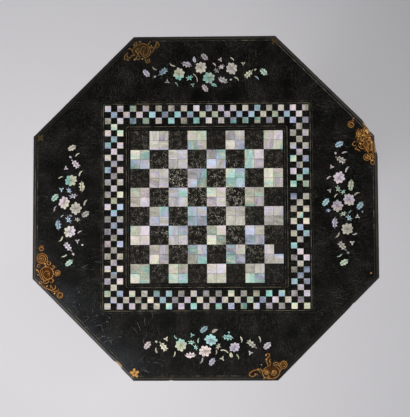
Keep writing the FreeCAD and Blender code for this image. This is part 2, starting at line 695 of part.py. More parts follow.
def tenon_wedge():
    low = block_top - tenon_shoulder - wedge_depth
    high = block_top - tenon_shoulder
    half = wedge_thickness / 2
    reach = upper_tenon_radius
    corners = [vec(-reach, 0, low), vec(-reach, half, high), vec(-reach, -half, high)]
    body = Part.Face(Part.makePolygon(corners + corners[:1])).extrude(vec(2 * reach, 0, 0))
    return body.common(Part.makeCylinder(reach, wedge_depth, vec(0, 0, low))).Solids[0]

def column_shaft():
    length = capital_bottom - hub_top
    foot = scaled(column_foot_shares, column_radius, hub_top, length)
    vase = scaled(column_vase_shares, column_radius, hub_top, length)
    ring = scaled(column_ring_shares, column_radius, hub_top, length)
    neck = scaled(column_neck_shares, column_radius, hub_top, length)
    top = block_top - tenon_shoulder
    low = hub_top - lower_tenon_length
    edges = chain([(0, top), (0, low), (lower_tenon_radius, low), (lower_tenon_radius, hub_top), foot[0]])
    edges += [arc(foot), *chain([foot[-1], vase[0]]), curve(vase), *chain([vase[-1], ring[0]])]
    edges += [arc(ring), *chain([ring[-1], neck[0]]), curve(neck)]
    edges += chain([neck[-1], (upper_tenon_radius, capital_bottom), (upper_tenon_radius, top), (0, top)])
    return turned(edges).cut(tenon_wedge()).Solids[0]

def column_capital():
    outline = scaled(capital_outline_shares, capital_radius, capital_bottom, capital_height)
    bore = upper_tenon_radius + joint_fit
    edges = chain([(bore, block_bottom), (bore, capital_bottom), outline[0], outline[1]])
    edges += [curve(outline[1:4]), *chain(outline[3:] + [(bore, block_bottom)])]
    return turned(edges)

# Hub: turned drum with three flats, each with a dovetail socket open below
def dovetail(grow):
    inner = hub_flat - dovetail_depth - grow
    neck = dovetail_neck / 2 + grow
    tail = dovetail_tail / 2 + grow
    height = dovetail_height + grow
    return slab([(hub_flat, -neck), (hub_flat, neck), (inner, tail), (inner, -tail)], hub_bottom, height)

def leg_hub():
    outline = scaled(hub_outline_shares, hub_radius, hub_bottom, hub_height)
    floor = hub_top - lower_tenon_length - joint_fit
    bore = lower_tenon_radius + joint_fit
    edges = chain([(0, floor), (0, hub_bottom), *outline[:4]])
    edges += [curve(outline[3:6]), *chain([*outline[5:], (bore, hub_top), (bore, floor), (0, floor)])]
    body = turned(edges)
    seat_top = leg_top + overrun
    cuts = [screw_hole(*strap_screws[0])]
    for angle in leg_angles.values():
        flat = block(hub_flat, hub_radius + overrun, -hub_radius, hub_radius, hub_bottom - overrun, seat_top)
        for tool in (flat, dovetail(joint_fit)):
            tool.rotate(vec(0, 0, 0), vec(0, 0, 1), angle)
            cuts.append(tool)
    return body.cut(cuts).Solids[0]

# Legs: sawn S curves with a flat toe, an upright dovetail at the hub and a ledge for the strap
def leg(angle):
    reach = leg_reach - hub_flat
    back = [(hub_flat + x * reach, z * leg_top) for x, z in leg_back_shares]
    ledge = (hub_flat + leg_ledge, hub_bottom)
    heel = (leg_reach - toe_flat, 0)
    belly = [ledge] + [(hub_flat + x * reach, z * hub_bottom) for x, z in leg_belly_shares] + [heel]
    instep = (leg_reach - toe_height, toe_height)
    edges = chain([back[0], (hub_flat, hub_bottom), ledge])
    edges += [curve(belly), *chain([heel, (leg_reach - toe_height / 2, 0)])]
    edges += [arc([(leg_reach - toe_height / 2, 0), (leg_reach, toe_height / 2), instep])]
    edges += [curve([instep, *reversed(back)])]
    side = Part.Face(Part.Wire(edges))
    side.translate(vec(0, -leg_thickness / 2, 0))
    body = single(side.extrude(vec(0, leg_thickness, 0)).fuse(dovetail(0)))
    body.rotate(vec(0, 0, 0), vec(0, 0, 1), angle)
    return body.cut([screw_hole(*place) for place in strap_screws]).Solids[0]

def spider_plate():
    end = strap_screw_radius + strap_screw_head / 2 + strap_end
    arms = []
    for angle in leg_angles.values():
        arm = block(0, end, -strap_width / 2, strap_width / 2, hub_bottom - strap_thickness, hub_bottom)
        arm.rotate(vec(0, 0, 0), vec(0, 0, 1), angle)
        arms.append(arm)
    centre = Part.makeCylinder(strap_width, strap_thickness, vec(0, 0, hub_bottom - strap_thickness))
    body = single(centre.fuse(arms))
    return body.cut([screw_hole(*place) for place in strap_screws]).Solids[0]

os.makedirs("parts", exist_ok=True)

quarter_cells = board_cells()
edge_cells = border_cells_laid()
sprays = {name: spray_outlines(name) for name in spray_shares}
openings = list(quarter_cells.values()) + list(edge_cells.values()) + sum(sprays.values(), [])

write_node("core_boards", core_boards())
write_node("core_dowels", dowels(0))
write_node("edge_lipping", edge_lipping())
write_node("lacquer_face", [lacquer_face(openings)])
write_node("board_tiles", inlay([cell for key, cell in quarter_cells.items() if key not in lost_quarters]))
write_node("border_tiles", inlay([cell for key, cell in edge_cells.items() if key not in lost_border_cells]))
for name, outlines in sprays.items():
    write_node(name, inlay(outlines))

write_node("left_bearer", [bearer(-1)])
write_node("right_bearer", [bearer(1)])
write_node("bearer_screws", [screw(*place) for place in bearer_screws])

write_node("bolt_plate", [bolt_plate()])
write_node("bolt_guides", [bolt_guide(front_guide), bolt_guide(rear_guide)])
write_node("bolt_leaf_spring", [bolt_leaf_spring()])
write_node("bolt_screws", [screw(*place) for place in bolt_screws])
write_node("slide_bolt", [slide_bolt()])
write_node("bolt_knob", [bolt_knob()])

write_node("tilt_block", [tilt_block()])
write_node("pivot_pins", [pivot_pin(-1, 0), pivot_pin(1, 0)])
write_node("keeper_plate", [keeper_plate()])
write_node("keeper_screws", [screw(*place) for place in keeper_screws])

write_node("column_capital", [column_capital()])
write_node("column_shaft", [column_shaft()])
write_node("tenon_wedge", [tenon_wedge()])
write_node("leg_hub", [leg_hub()])
for name, angle in leg_angles.items():
    write_node(name, [leg(angle)])
write_node("spider_plate", [spider_plate()])
write_node("spider_screws", [screw(*place) for place in strap_screws])
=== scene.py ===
import math
import random
import bmesh
import bpy
from mathutils import Matrix, Vector, noise


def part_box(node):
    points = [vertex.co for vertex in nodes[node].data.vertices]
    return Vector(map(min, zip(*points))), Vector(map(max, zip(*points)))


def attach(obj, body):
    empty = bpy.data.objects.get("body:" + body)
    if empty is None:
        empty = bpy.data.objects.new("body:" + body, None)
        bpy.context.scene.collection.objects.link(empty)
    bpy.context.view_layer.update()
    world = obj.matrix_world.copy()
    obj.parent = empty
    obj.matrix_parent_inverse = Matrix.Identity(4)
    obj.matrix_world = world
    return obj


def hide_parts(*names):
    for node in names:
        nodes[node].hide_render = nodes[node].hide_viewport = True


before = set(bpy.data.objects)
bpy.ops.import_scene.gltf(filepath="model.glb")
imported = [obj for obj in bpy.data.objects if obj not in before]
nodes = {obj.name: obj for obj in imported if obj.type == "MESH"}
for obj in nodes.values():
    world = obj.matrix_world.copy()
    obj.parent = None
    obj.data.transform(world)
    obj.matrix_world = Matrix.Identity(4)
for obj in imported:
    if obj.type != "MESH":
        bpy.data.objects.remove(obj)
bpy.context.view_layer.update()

mm = 0.001
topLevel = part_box("lacquer_face")[1].z
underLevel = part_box("edge_lipping")[0].z
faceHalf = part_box("lacquer_face")[1].x          # octagon of the lacquer face, across its flats
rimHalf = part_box("edge_lipping")[1].x           # octagon of the whole top
boardLow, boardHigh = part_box("board_tiles")
borderLow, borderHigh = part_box("border_tiles")
boardHalf = (boardHigh.x - boardLow.x) / 2
borderHalf = (borderHigh.x - borderLow.x) / 2
boardShift = (boardHigh.x + boardLow.x) / 2     # the hand-laid board lies a little right of the middle
print("frame:", len(nodes), "nodes, top at", round(topLevel / mm), "mm")


# Helpers
def perMetre(size):                             # texture scale that gives a pattern of this many mm
    return 1 / (size * mm)


def hexToLinear(code):
    shares = [int(code[k:k + 2], 16) / 255 for k in (1, 3, 5)]
    return [s / 12.92 if s <= 0.04045 else ((s + 0.055) / 1.055) ** 2.4 for s in shares] + [1.0]


def addNode(tree, kind, settings={}, inputs={}, stops=()):
    node = tree.nodes.new(kind)
    for name, value in settings.items():
        setattr(node, name, value)
    for key, value in inputs.items():
        shown = [s for s in node.inputs if s.enabled and s.name == key]
        socket = shown[0] if shown else node.inputs[key]
        if isinstance(value, bpy.types.Node):
            value = next(s for s in value.outputs if s.enabled)
        if isinstance(value, bpy.types.NodeSocket):
            tree.links.new(value, socket)
        else:
            socket.default_value = hexToLinear(value) if str(value).startswith("#") else value
    for k, (place, code) in enumerate(stops):
        ramp = node.color_ramp.elements
        element = ramp[k] if k < 2 else ramp.new(place)
        element.position = place
        element.color = hexToLinear(code)
    return node


def newMaterial(name, constants):
    material = bpy.data.materials.new(name)
    material.use_nodes = True
    tree = material.node_tree
    tree.nodes.clear()
    shader = addNode(tree, "ShaderNodeBsdfPrincipled", {}, constants)
    addNode(tree, "ShaderNodeOutputMaterial", {}, {"Surface": shader})
    place = addNode(tree, "ShaderNodeTexCoord").outputs["Object"]
    return material, tree, shader, place


def hairlines(tree, place, sizes, width, wander=0.5):   # thin lines, where a stretched noise crosses its middle
    scales = [perMetre(size) for size in sizes]
    spot = addNode(tree, "ShaderNodeMapping", {}, {"Vector": place, "Scale": scales})
    field = addNode(tree, "ShaderNodeTexNoise", {}, {"Vector": spot, "Scale": 1, "Detail": 2, "Distortion": wander})
    middle = addNode(tree, "ShaderNodeMath", {"operation": "SUBTRACT"}, {0: field, 1: 0.5})
    away = addNode(tree, "ShaderNodeMath", {"operation": "ABSOLUTE"}, {0: middle})
    return addNode(tree, "ShaderNodeMapRange", {"interpolation_type": "SMOOTHSTEP"},
                   {"Value": away, "From Min": 0, "From Max": width, "To Min": 1, "To Max": 0})


def patches(tree, place, size, low, high, detail=3):    # soft-edged islands of about this size
    field = addNode(tree, "ShaderNodeTexNoise", {}, {"Vector": place, "Scale": perMetre(size), "Detail": detail})
    return addNode(tree, "ShaderNodeMapRange", {"interpolation_type": "SMOOTHSTEP"},
                   {"Value": field, "From Min": low, "From Max": high})


def layOver(tree, under, over, *masks, share=1.0):      # one colour over another where all the masks meet
    factor = share
    for mask in masks:
        factor = addNode(tree, "ShaderNodeMath", {"operation": "MULTIPLY"}, {0: mask, 1: factor})
    return addNode(tree, "ShaderNodeMix", {"data_type": "RGBA"}, {"Factor": factor, "A": under, "B": over})


def offDiagonals(tree, place):                  # fades towards the two diagonal sides that are rubbed bare
    slant = addNode(tree, "ShaderNodeVectorMath", {"operation": "DOT_PRODUCT"}, {0: place, 1: (0.7, -0.7, 0)})
    slant = addNode(tree, "ShaderNodeMath", {"operation": "ABSOLUTE"}, {0: slant.outputs["Value"]})
    return addNode(tree, "ShaderNodeMapRange", {"interpolation_type": "SMOOTHSTEP"},
                   {"Value": slant, "From Min": 0.22, "From Max": 0.275, "To Min": 1, "To Max": 0.2})


def newTree(name, inputs):
    tree = bpy.data.node_groups.new(name, "GeometryNodeTree")
    for label, kind in inputs.items():
        tree.interface.new_socket(label, in_out="INPUT", socket_type="NodeSocket" + kind)
    tree.interface.new_socket("Geometry", in_out="OUTPUT", socket_type="NodeSocketGeometry")
    return tree, addNode(tree, "NodeGroupInput").outputs


def closeTree(tree, geometry, material):
    real = addNode(tree, "GeometryNodeRealizeInstances", {}, {"Geometry": geometry})
    dressed = addNode(tree, "GeometryNodeSetMaterial", {}, {"Geometry": real, "Material": material})
    addNode(tree, "NodeGroupOutput", {}, {"Geometry": dressed})


def runTree(tree, source, values):
    carrier = bpy.data.objects.new(tree.name, source)
    bpy.context.scene.collection.objects.link(carrier)
    modifier = carrier.modifiers.new(tree.name, "NODES")
    modifier.node_group = tree
    for item in tree.interface.items_tree:
        if item.in_out == "INPUT" and item.name in values:
            modifier[item.identifier] = values[item.name]
    made = carrier.evaluated_get(bpy.context.evaluated_depsgraph_get())
    mesh = bpy.data.meshes.new_from_object(made)
    carrier.modifiers.remove(modifier)
    bpy.data.objects.remove(carrier)
    return mesh


def putPiece(name, mesh, body, slotName="", replaced=(), materials=()):
    mesh.name = name
    for material in materials:
        mesh.materials.append(material)
    piece = bpy.data.objects.new(name, mesh)
    bpy.context.scene.collection.objects.link(piece)
    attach(piece, body)
    if replaced:
        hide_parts(*replaced)
    return piece


def mergedCopy(node):                           # a CAD node's shape with its loose triangles joined
    copy = bmesh.new()
    copy.from_mesh(nodes[node].data)
    bmesh.ops.remove_doubles(copy, verts=copy.verts, dist=0.002 * mm)
    bmesh.ops.dissolve_limit(copy, angle_limit=math.radians(0.3), verts=copy.verts, edges=copy.edges)
    return copy


def meshFrom(shape, name, smoothAngle=None):
    mesh = bpy.data.meshes.new(name)
    shape.to_mesh(mesh)
    shape.free()
    if "custom_normal" in mesh.attributes:
        mesh.attributes.remove(mesh.attributes["custom_normal"])
    mesh.polygons.foreach_set("use_smooth", [smoothAngle is not None] * len(mesh.polygons))
    if smoothAngle is not None:
        mesh.set_sharp_from_angle(angle=math.radians(smoothAngle))
    return mesh


def octagonReach(x, y):                         # half width of the octagon that passes through this point
    slant = math.sqrt(0.5)
    return max(abs(x), abs(y), abs(x + y) * slant, abs(x - y) * slant)


rim = {"round": 5, "step": 5, "arcSteps": 6, "dent": 0.28, "dentSize": 22}


def surfaceLevel(x, y):                         # height of the top, also on its rounded edge
    over = max(0, octagonReach(x, y) - (rimHalf - rim["round"] * mm))
    bend = rim["round"] * mm
    return topLevel - bend + math.sqrt(max(0, bend * bend - over * over))


# Black lacquer over a gesso ground, polished by hand: warm black, fine drying cracks square to the board's sides,
# a bluish rubbed bloom by the lower left edge with painted sheen of the lamp there, a net of pale wear in the dark
# squares
lacquerLook = {
    "ground": "#090908", "cloud": "#110f0e", "bloomAndSheen": "#2b2f34", "crack": "#5a5852", "wear": "#e4dcc8", "bed": "#1c1a17",
    "speck": "#6a655a",
    "cloudSize": 34, "crackAcross": 2.0, "crackAlong": 17, "crackleCell": 5, "wearCell": 4.2, "speckSize": 1.1,
}

def lacquerOfFace():
    look = lacquerLook
    material, tree, shader, place = newMaterial("blackLacquer", {"IOR": 1.5})
    fromBoard = addNode(tree, "ShaderNodeVectorMath", {"operation": "SUBTRACT"}, {0: place, 1: (boardShift, 0, 0)})
    axes = addNode(tree, "ShaderNodeSeparateXYZ", {}, {0: fromBoard}).outputs
    wide = addNode(tree, "ShaderNodeMath", {"operation": "ABSOLUTE"}, {0: axes["X"]})
    deep = addNode(tree, "ShaderNodeMath", {"operation": "ABSOLUTE"}, {0: axes["Y"]})
    clouds = patches(tree, place, look["cloudSize"], 0.35, 0.75)
    tone = layOver(tree, look["ground"], look["cloud"], clouds)

    # rubbed bloom and painted sheen of the lamp, lighter and bluish towards the lower left edge
    lean = addNode(tree, "ShaderNodeVectorMath", {"operation": "DOT_PRODUCT"}, {0: place, 1: (-0.75, -0.66, 0)})
    rubbed = addNode(tree, "ShaderNodeMapRange", {"interpolation_type": "SMOOTHSTEP"},
                     {"Value": lean.outputs["Value"], "From Min": 0.22, "From Max": 0.31})
    tone = layOver(tree, tone, look["bloomAndSheen"], rubbed, patches(tree, place, 55, 0.3, 0.6), share=0.75)

    # cracks run outwards from the board
    across, along = look["crackAcross"], look["crackAlong"]
    upright = hairlines(tree, place, (across, along, across), 0.018)
    level = hairlines(tree, place, (along, across, across), 0.018)
    sides = addNode(tree, "ShaderNodeMath", {"operation": "GREATER_THAN"}, {0: wide, 1: deep})
    cracks = addNode(tree, "ShaderNodeMix", {}, {"Factor": sides, "A": upright, "B": level})
    tone = layOver(tree, tone, look["crack"], cracks, patches(tree, place, 30, 0.4, 0.66), share=0.44)
    crooks = addNode(tree, "ShaderNodeTexNoise", {}, {"Vector": place, "Scale": perMetre(4), "Detail": 2})
    crooked = addNode(tree, "ShaderNodeMix", {"data_type": "VECTOR"}, {"Factor": 0.006, "A": place, "B": crooks.outputs[1]})
    crackle = addNode(tree, "ShaderNodeTexVoronoi", {"feature": "DISTANCE_TO_EDGE"},
                      {"Vector": crooked, "Scale": perMetre(look["crackleCell"])})
    crackle = addNode(tree, "ShaderNodeMapRange", {}, {"Value": crackle, "From Min": 0.02, "From Max": 0.08, "To Min": 1,
                                                       "To Max": 0})
    tone = layOver(tree, tone, look["crack"], crackle, patches(tree, place, 40, 0.2, 0.75), share=0.15)

    # pale net of wear, different in each dark square and strongest in the middle of the board
    corner = addNode(tree, "ShaderNodeVectorMath", {"operation": "ADD"}, {0: fromBoard, 1: (boardHalf, boardHalf, 0)})
    square = addNode(tree, "ShaderNodeVectorMath", {"operation": "SNAP"}, {0: corner, 1: (boardHalf / 4,) * 3})
    strength = addNode(tree, "ShaderNodeTexWhiteNoise", {"noise_dimensions": "2D"}, {"Vector": square})
    strength = addNode(tree, "ShaderNodeMapRange", {}, {"Value": strength, "To Min": 0.3, "To Max": 1})
    reach = addNode(tree, "ShaderNodeMath", {"operation": "MAXIMUM"}, {0: wide, 1: deep})
    onBoard = addNode(tree, "ShaderNodeMath", {"operation": "LESS_THAN"}, {0: reach, 1: boardHalf})
    central = addNode(tree, "ShaderNodeMapRange", {"interpolation_type": "SMOOTHSTEP"},
                      {"Value": reach, "From Min": boardHalf * 0.25, "From Max": boardHalf * 0.75, "To Min": 1,
                       "To Max": 0.22})
    cells = addNode(tree, "ShaderNodeTexVoronoi", {"feature": "DISTANCE_TO_EDGE"},
                    {"Vector": crooked, "Scale": perMetre(look["wearCell"])})
    net = addNode(tree, "ShaderNodeMapRange", {"interpolation_type": "SMOOTHSTEP"},
                  {"Value": cells, "From Min": 0.012, "From Max": 0.05, "To Min": 1, "To Max": 0})
    broken = patches(tree, place, 8, 0.42, 0.57)
    tone = layOver(tree, tone, look["bed"], onBoard)
    tone = layOver(tree, tone, look["wear"], net, broken, onBoard, central, strength)

    # stray specks
    dust = addNode(tree, "ShaderNodeTexVoronoi", {}, {"Vector": place, "Scale": perMetre(look["speckSize"] * 4)})
    speck = addNode(tree, "ShaderNodeMapRange", {}, {"Value": dust, "From Min": 0.06, "From Max": 0.14,
                                                     "To Min": 1, "To Max": 0})
    tone = layOver(tree, tone, look["speck"], speck, patches(tree, place, 9, 0.55, 0.62), share=0.7)

    dull = addNode(tree, "ShaderNodeMapRange", {}, {"Value": clouds, "To Min": 0.14, "To Max": 0.27})
    relief = addNode(tree, "ShaderNodeBump", {"invert": True}, {"Height": cracks, "Strength": 0.15, "Distance": 0.05 * mm})
    for name, source in (("Base Color", tone), ("Roughness", dull), ("Normal", relief)):
        tree.links.new(next(s for s in source.outputs if s.enabled), shader.inputs[name])
    return material


# Mother-of-pearl, sawn thin and polished: each tile is another part of the shell, so soft bands of grey, lavender,
# pink, cream, sea green and blue run through it, over fine growth lines, and old dirt sits in the seams
nacreLook = {
    "shell": ((0.0, "#b6b1a7"), (0.12, "#c8c2b6"), (0.22, "#bdb6c8"), (0.31, "#d3c3c8"), (0.41, "#cec6b6"),
              (0.51, "#c4c9b3"), (0.58, "#b4c7bb"), (0.64, "#90c2ba"), (0.70, "#a8c0c4"), (0.79, "#adb5d0"),
              (0.89, "#bdb7c3"), (1.0, "#b6b1a7")),
    "band": (13, 34), "sheen": (9, 30), "growth": (0.9, 11),        # streaks: size across and along
    "mottle": 2.4, "tileDrift": 0.42, "sprayDrift": 0.1, "veinShare": 0.22, "petalLines": 3.4,
    "engraved": "#20252a", "grime": "#2a2721",
    "colourful": {"polishedNacre": 0.92, "borderNacre": 1.2, "engravedNacre": 1.2},
}


def nacre(name, engraved):
    look = nacreLook
    material, tree, shader, place = newMaterial(name, {"IOR": 1.56, "Thin Film Thickness": 420, "Thin Film IOR": 1.35})
    tint, shade, turn, grime = [addNode(tree, "ShaderNodeAttribute", {"attribute_name": a}).outputs["Fac"]
                                for a in ("tint", "shade", "turn", "grime")]
    shift = addNode(tree, "ShaderNodeCombineXYZ", {}, {0: tint, 1: shade, 2: turn})
    spot = addNode(tree, "ShaderNodeVectorMath", {"operation": "ADD"}, {0: place, 1: shift})
    quarter = addNode(tree, "ShaderNodeMath", {"operation": "SNAP"}, {0: turn, 1: 0.25})     # cut nearly with the grain
    angle = addNode(tree, "ShaderNodeMix", {}, {"Factor": 0.25, "A": quarter, "B": turn})
    angle = addNode(tree, "ShaderNodeMath", {"operation": "MULTIPLY"}, {0: angle, 1: math.tau})
    spot = addNode(tree, "ShaderNodeVectorRotate", {"rotation_type": "Z_AXIS"}, {"Vector": spot, "Angle": angle})
    streaks = {}
    for layer, detail in (("band", 1), ("sheen", 2), ("growth", 3)):
        across, along = [perMetre(size) for size in look[layer]]
        lines = addNode(tree, "ShaderNodeMapping", {}, {"Vector": spot, "Scale": (along, across, along)})
        streaks[layer] = addNode(tree, "ShaderNodeTexNoise", {}, {"Vector": lines, "Scale": 1, "Detail": detail,
                                                                  "Distortion": 0.4})
    swing = look["sprayDrift"] if engraved else look["tileDrift"]
    drift = addNode(tree, "ShaderNodeMapRange", {}, {"Value": streaks["band"], "To Min": -swing, "To Max": swing})
    drift = addNode(tree, "ShaderNodeMath", {"operation": "ADD"}, {0: drift, 1: tint})
    wheel = addNode(tree, "ShaderNodeMath", {"operation": "FRACT"}, {0: drift})
    colour = addNode(tree, "ShaderNodeValToRGB", {}, {"Fac": wheel}, look["shell"])
    light = addNode(tree, "ShaderNodeMapRange", {}, {"Value": shade, "To Min": -0.43, "To Max": -0.04})
    light.clamp = False
    streaks["mottle"] = addNode(tree, "ShaderNodeTexNoise", {}, {"Vector": spot, "Scale": perMetre(look["mottle"])})
    for layer, share in (("sheen", 1.0), ("growth", 0.5), ("mottle", 0.75)):
        light = addNode(tree, "ShaderNodeMath", {"operation": "MULTIPLY_ADD"}, {0: streaks[layer], 1: share, 2: light})
    colour = addNode(tree, "ShaderNodeHueSaturation", {}, {"Color": colour, "Value": light, "Saturation": look["colourful"][name]})
    colour = layOver(tree, colour, look["grime"], grime, share=0.38)
    if engraved:                                # ribs of leaves, hearts and petals of flowers, in each piece's own u and v
        u, v, flower = [addNode(tree, "ShaderNodeAttribute", {"attribute_name": a}).outputs["Fac"]
                        for a in ("u", "v", "flower")]
        off = addNode(tree, "ShaderNodeMath", {"operation": "ABSOLUTE"}, {0: v})
        slant = addNode(tree, "ShaderNodeMath", {"operation": "MULTIPLY_ADD"}, {0: off, 1: -0.35, 2: u})
        veins = addNode(tree, "ShaderNodeMath", {"operation": "PINGPONG"}, {0: slant, 1: look["veinShare"]})
        veins = addNode(tree, "ShaderNodeMapRange", {}, {"Value": veins, "From Max": look["veinShare"] / 2,
                                                         "To Min": 0.6, "To Max": 0})
        rib = addNode(tree, "ShaderNodeMapRange", {"interpolation_type": "SMOOTHSTEP"},
                      {"Value": off, "From Min": 0.08, "From Max": 0.3, "To Min": 1, "To Max": 0})
        rib = addNode(tree, "ShaderNodeMath", {"operation": "MAXIMUM"}, {0: rib, 1: veins})
        local = addNode(tree, "ShaderNodeCombineXYZ", {}, {0: u, 1: v})
        radius = addNode(tree, "ShaderNodeVectorMath", {"operation": "LENGTH"}, {0: local}).outputs["Value"]
        heart = addNode(tree, "ShaderNodeMapRange", {"interpolation_type": "SMOOTHSTEP"},
                        {"Value": radius, "From Min": 0.05, "From Max": 0.42, "To Min": 0.85, "To Max": 0})
        bearing = addNode(tree, "ShaderNodeVectorMath", {"operation": "NORMALIZE"}, {0: local})
        bearing = addNode(tree, "ShaderNodeVectorMath", {"operation": "ADD"}, {0: bearing, 1: shift})
        folds = addNode(tree, "ShaderNodeTexNoise", {}, {"Vector": bearing, "Scale": look["petalLines"], "Detail": 2})
        folds = addNode(tree, "ShaderNodeMapRange", {"interpolation_type": "SMOOTHSTEP"},
                        {"Value": folds, "From Min": 0.4, "From Max": 0.56, "To Min": 1, "To Max": 0})
        inside = addNode(tree, "ShaderNodeMapRange", {"interpolation_type": "SMOOTHSTEP"},
                         {"Value": radius, "From Min": 0.4, "From Max": 0.95, "To Min": 0.9, "To Max": 0.1})
        folds = addNode(tree, "ShaderNodeMath", {"operation": "MULTIPLY"}, {0: folds, 1: inside})
        petals = addNode(tree, "ShaderNodeMath", {"operation": "MAXIMUM"}, {0: heart, 1: folds})
        cut = addNode(tree, "ShaderNodeMix", {}, {"Factor": flower, "A": rib, "B": petals})
        colour = layOver(tree, colour, look["engraved"], cut, share=0.72)
    gloss = addNode(tree, "ShaderNodeMapRange", {}, {"Value": streaks["growth"], "To Min": 0.2, "To Max": 0.42})
    for socket, source in (("Base Color", colour), ("Roughness", gloss)):
        tree.links.new(next(s for s in source.outputs if s.enabled), shader.inputs[socket])
    return material


# Gold powder on brown size: warm tan where it is thick, brown where the powder has gone; "glow" is how much is left
giltLooks = {
    "goldPowderScroll": {"dull": "#6f6040", "bright": "#dfa45c", "deep": "#6b4219", "bare": "#3a230b", "mottle": 3.2,
                         "wear": 0.64, "metallic": 0.2},
    "rubbedGoldPatch": {"dull": "#402610", "bright": "#7d5224", "deep": "#190f07", "bare": "#0e0906", "mottle": 1.9,
                        "wear": 0.44, "metallic": 0.1},
    "fadedGold": {"dull": "#352918", "bright": "#4f3f27", "deep": "#211910", "bare": "#17120c", "mottle": 2.5, "wear": 0.58,
                  "metallic": 0},
    "brownSize": {"dull": "#2c210f", "bright": "#4c270b", "deep": "#1f1407", "bare": "#120c07", "mottle": 5, "wear": 0.62,
                  "metallic": 0},
}


def gilding(name):
    look = giltLooks[name]
    material, tree, shader, place = newMaterial(name, {"Metallic": look["metallic"], "Roughness": 0.35, "Specular IOR Level": 0.12})
    glow = addNode(tree, "ShaderNodeAttribute", {"attribute_name": "glow"}).outputs["Fac"]
    tone = layOver(tree, look["dull"], look["bright"], glow)
    tone = layOver(tree, tone, look["deep"], patches(tree, place, look["mottle"], 0.48, 0.72))
    tone = layOver(tree, tone, look["bare"], patches(tree, place, look["mottle"] * 2.2, look["wear"], look["wear"] + 0.16))
    tree.links.new(next(s for s in tone.outputs if s.enabled), shader.inputs["Base Color"])
    return material


# Thin lines: painted gold, rubbed to a dull olive and gone in places, and pale scratches in the lacquer
wornLineLooks = {
    "rubbedGoldLine": {"line": "#645c48", "gone": "#161512", "size": 12, "low": 0.38, "high": 0.6},
    "faintGoldLine": {"line": "#645c48", "gone": "#161512", "size": 12, "low": 0.47, "high": 0.74},
    "scratchedLacquer": {"line": "#8c8e92", "gone": "#2c2d2f", "size": 8, "low": 0.38, "high": 0.62},
    "edgeGoldLine": {"line": "#645c48", "gone": "#12110e", "size": 12, "low": 0.47, "high": 0.74, "rubbed": True},
}


def wornLine(name):
    look = wornLineLooks[name]
    material, tree, shader, place = newMaterial(name, {"Roughness": 0.4, "Specular IOR Level": 0.3})
    left = patches(tree, place, look["size"], look["low"], look["high"], 6)
    tone = layOver(tree, look["gone"], look["line"], left, *([offDiagonals(tree, place)] if "rubbed" in look else []))
    tree.links.new(next(s for s in tone.outputs if s.enabled), shader.inputs["Base Color"])
    return material


# Lacquered hardwood edge: black with an olive gold line, brown where hands have rubbed it, bare ochre wood in the chips
edgeLook = {"black": "#100f0c", "brown": "#291e0e", "line": "#4c4637", "ground": "#4d3217", "pale": "#9a7a4a", "grain": (16, 16, 1.6)}


def edgeLacquer():
    look = edgeLook
    material, tree, shader, place = newMaterial("lacqueredEdge", {"Roughness": 0.42, "Specular IOR Level": 0.25})
    inset, bare = [addNode(tree, "ShaderNodeAttribute", {"attribute_name": a}).outputs["Fac"] for a in ("inset", "bare")]
    tone = layOver(tree, look["black"], look["brown"], patches(tree, place, 16, 0.52, 0.7), offDiagonals(tree, place))
    away = addNode(tree, "ShaderNodeMath", {"operation": "SUBTRACT"}, {0: inset, 1: 4.4})
    away = addNode(tree, "ShaderNodeMath", {"operation": "ABSOLUTE"}, {0: away})
    stripe = addNode(tree, "ShaderNodeMapRange", {"interpolation_type": "SMOOTHSTEP"},
                     {"Value": away, "From Min": 0.5, "From Max": 1.1, "To Min": 1, "To Max": 0})
    side = addNode(tree, "ShaderNodeSeparateXYZ", {}, {0: place}).outputs["X"]
    kept = addNode(tree, "ShaderNodeMapRange", {"interpolation_type": "SMOOTHSTEP"},
                   {"Value": side, "From Min": -0.285, "From Max": -0.265, "To Min": 1, "To Max": 0.5})
    tone = layOver(tree, tone, look["line"], stripe, patches(tree, place, 30, 0.3, 0.55, 5), offDiagonals(tree, place), kept)
    along = addNode(tree, "ShaderNodeMapping", {}, {"Vector": place, "Scale": [perMetre(size) for size in look["grain"]]})
    grain = addNode(tree, "ShaderNodeTexNoise", {}, {"Vector": along, "Scale": 1, "Detail": 3})
    grain = addNode(tree, "ShaderNodeMapRange", {}, {"Value": grain, "From Min": 0.35, "From Max": 0.65})
    chipped = layOver(tree, look["ground"], look["pale"], grain)
    crumbs = addNode(tree, "ShaderNodeTexNoise", {}, {"Vector": place, "Scale": perMetre(7), "Detail": 4})
    ragged = addNode(tree, "ShaderNodeMath", {"operation": "ADD"}, {0: bare, 1: crumbs})
    ragged = addNode(tree, "ShaderNodeMapRange", {}, {"Value": ragged, "From Min": 0.98, "From Max": 1.12})
    tone = layOver(tree, tone, chipped, ragged)
    tree.links.new(next(s for s in tone.outputs if s.enabled), shader.inputs["Base Color"])
    return material


# Japanned wood of the stand: black varnish in several coats, brown and duller where it is rubbed through
standLook = {"black": "#100e0c", "cloud": "#1d1813", "rubbed": "#4a3018", "rubSize": 26, "brushSize": (60, 60, 4)}


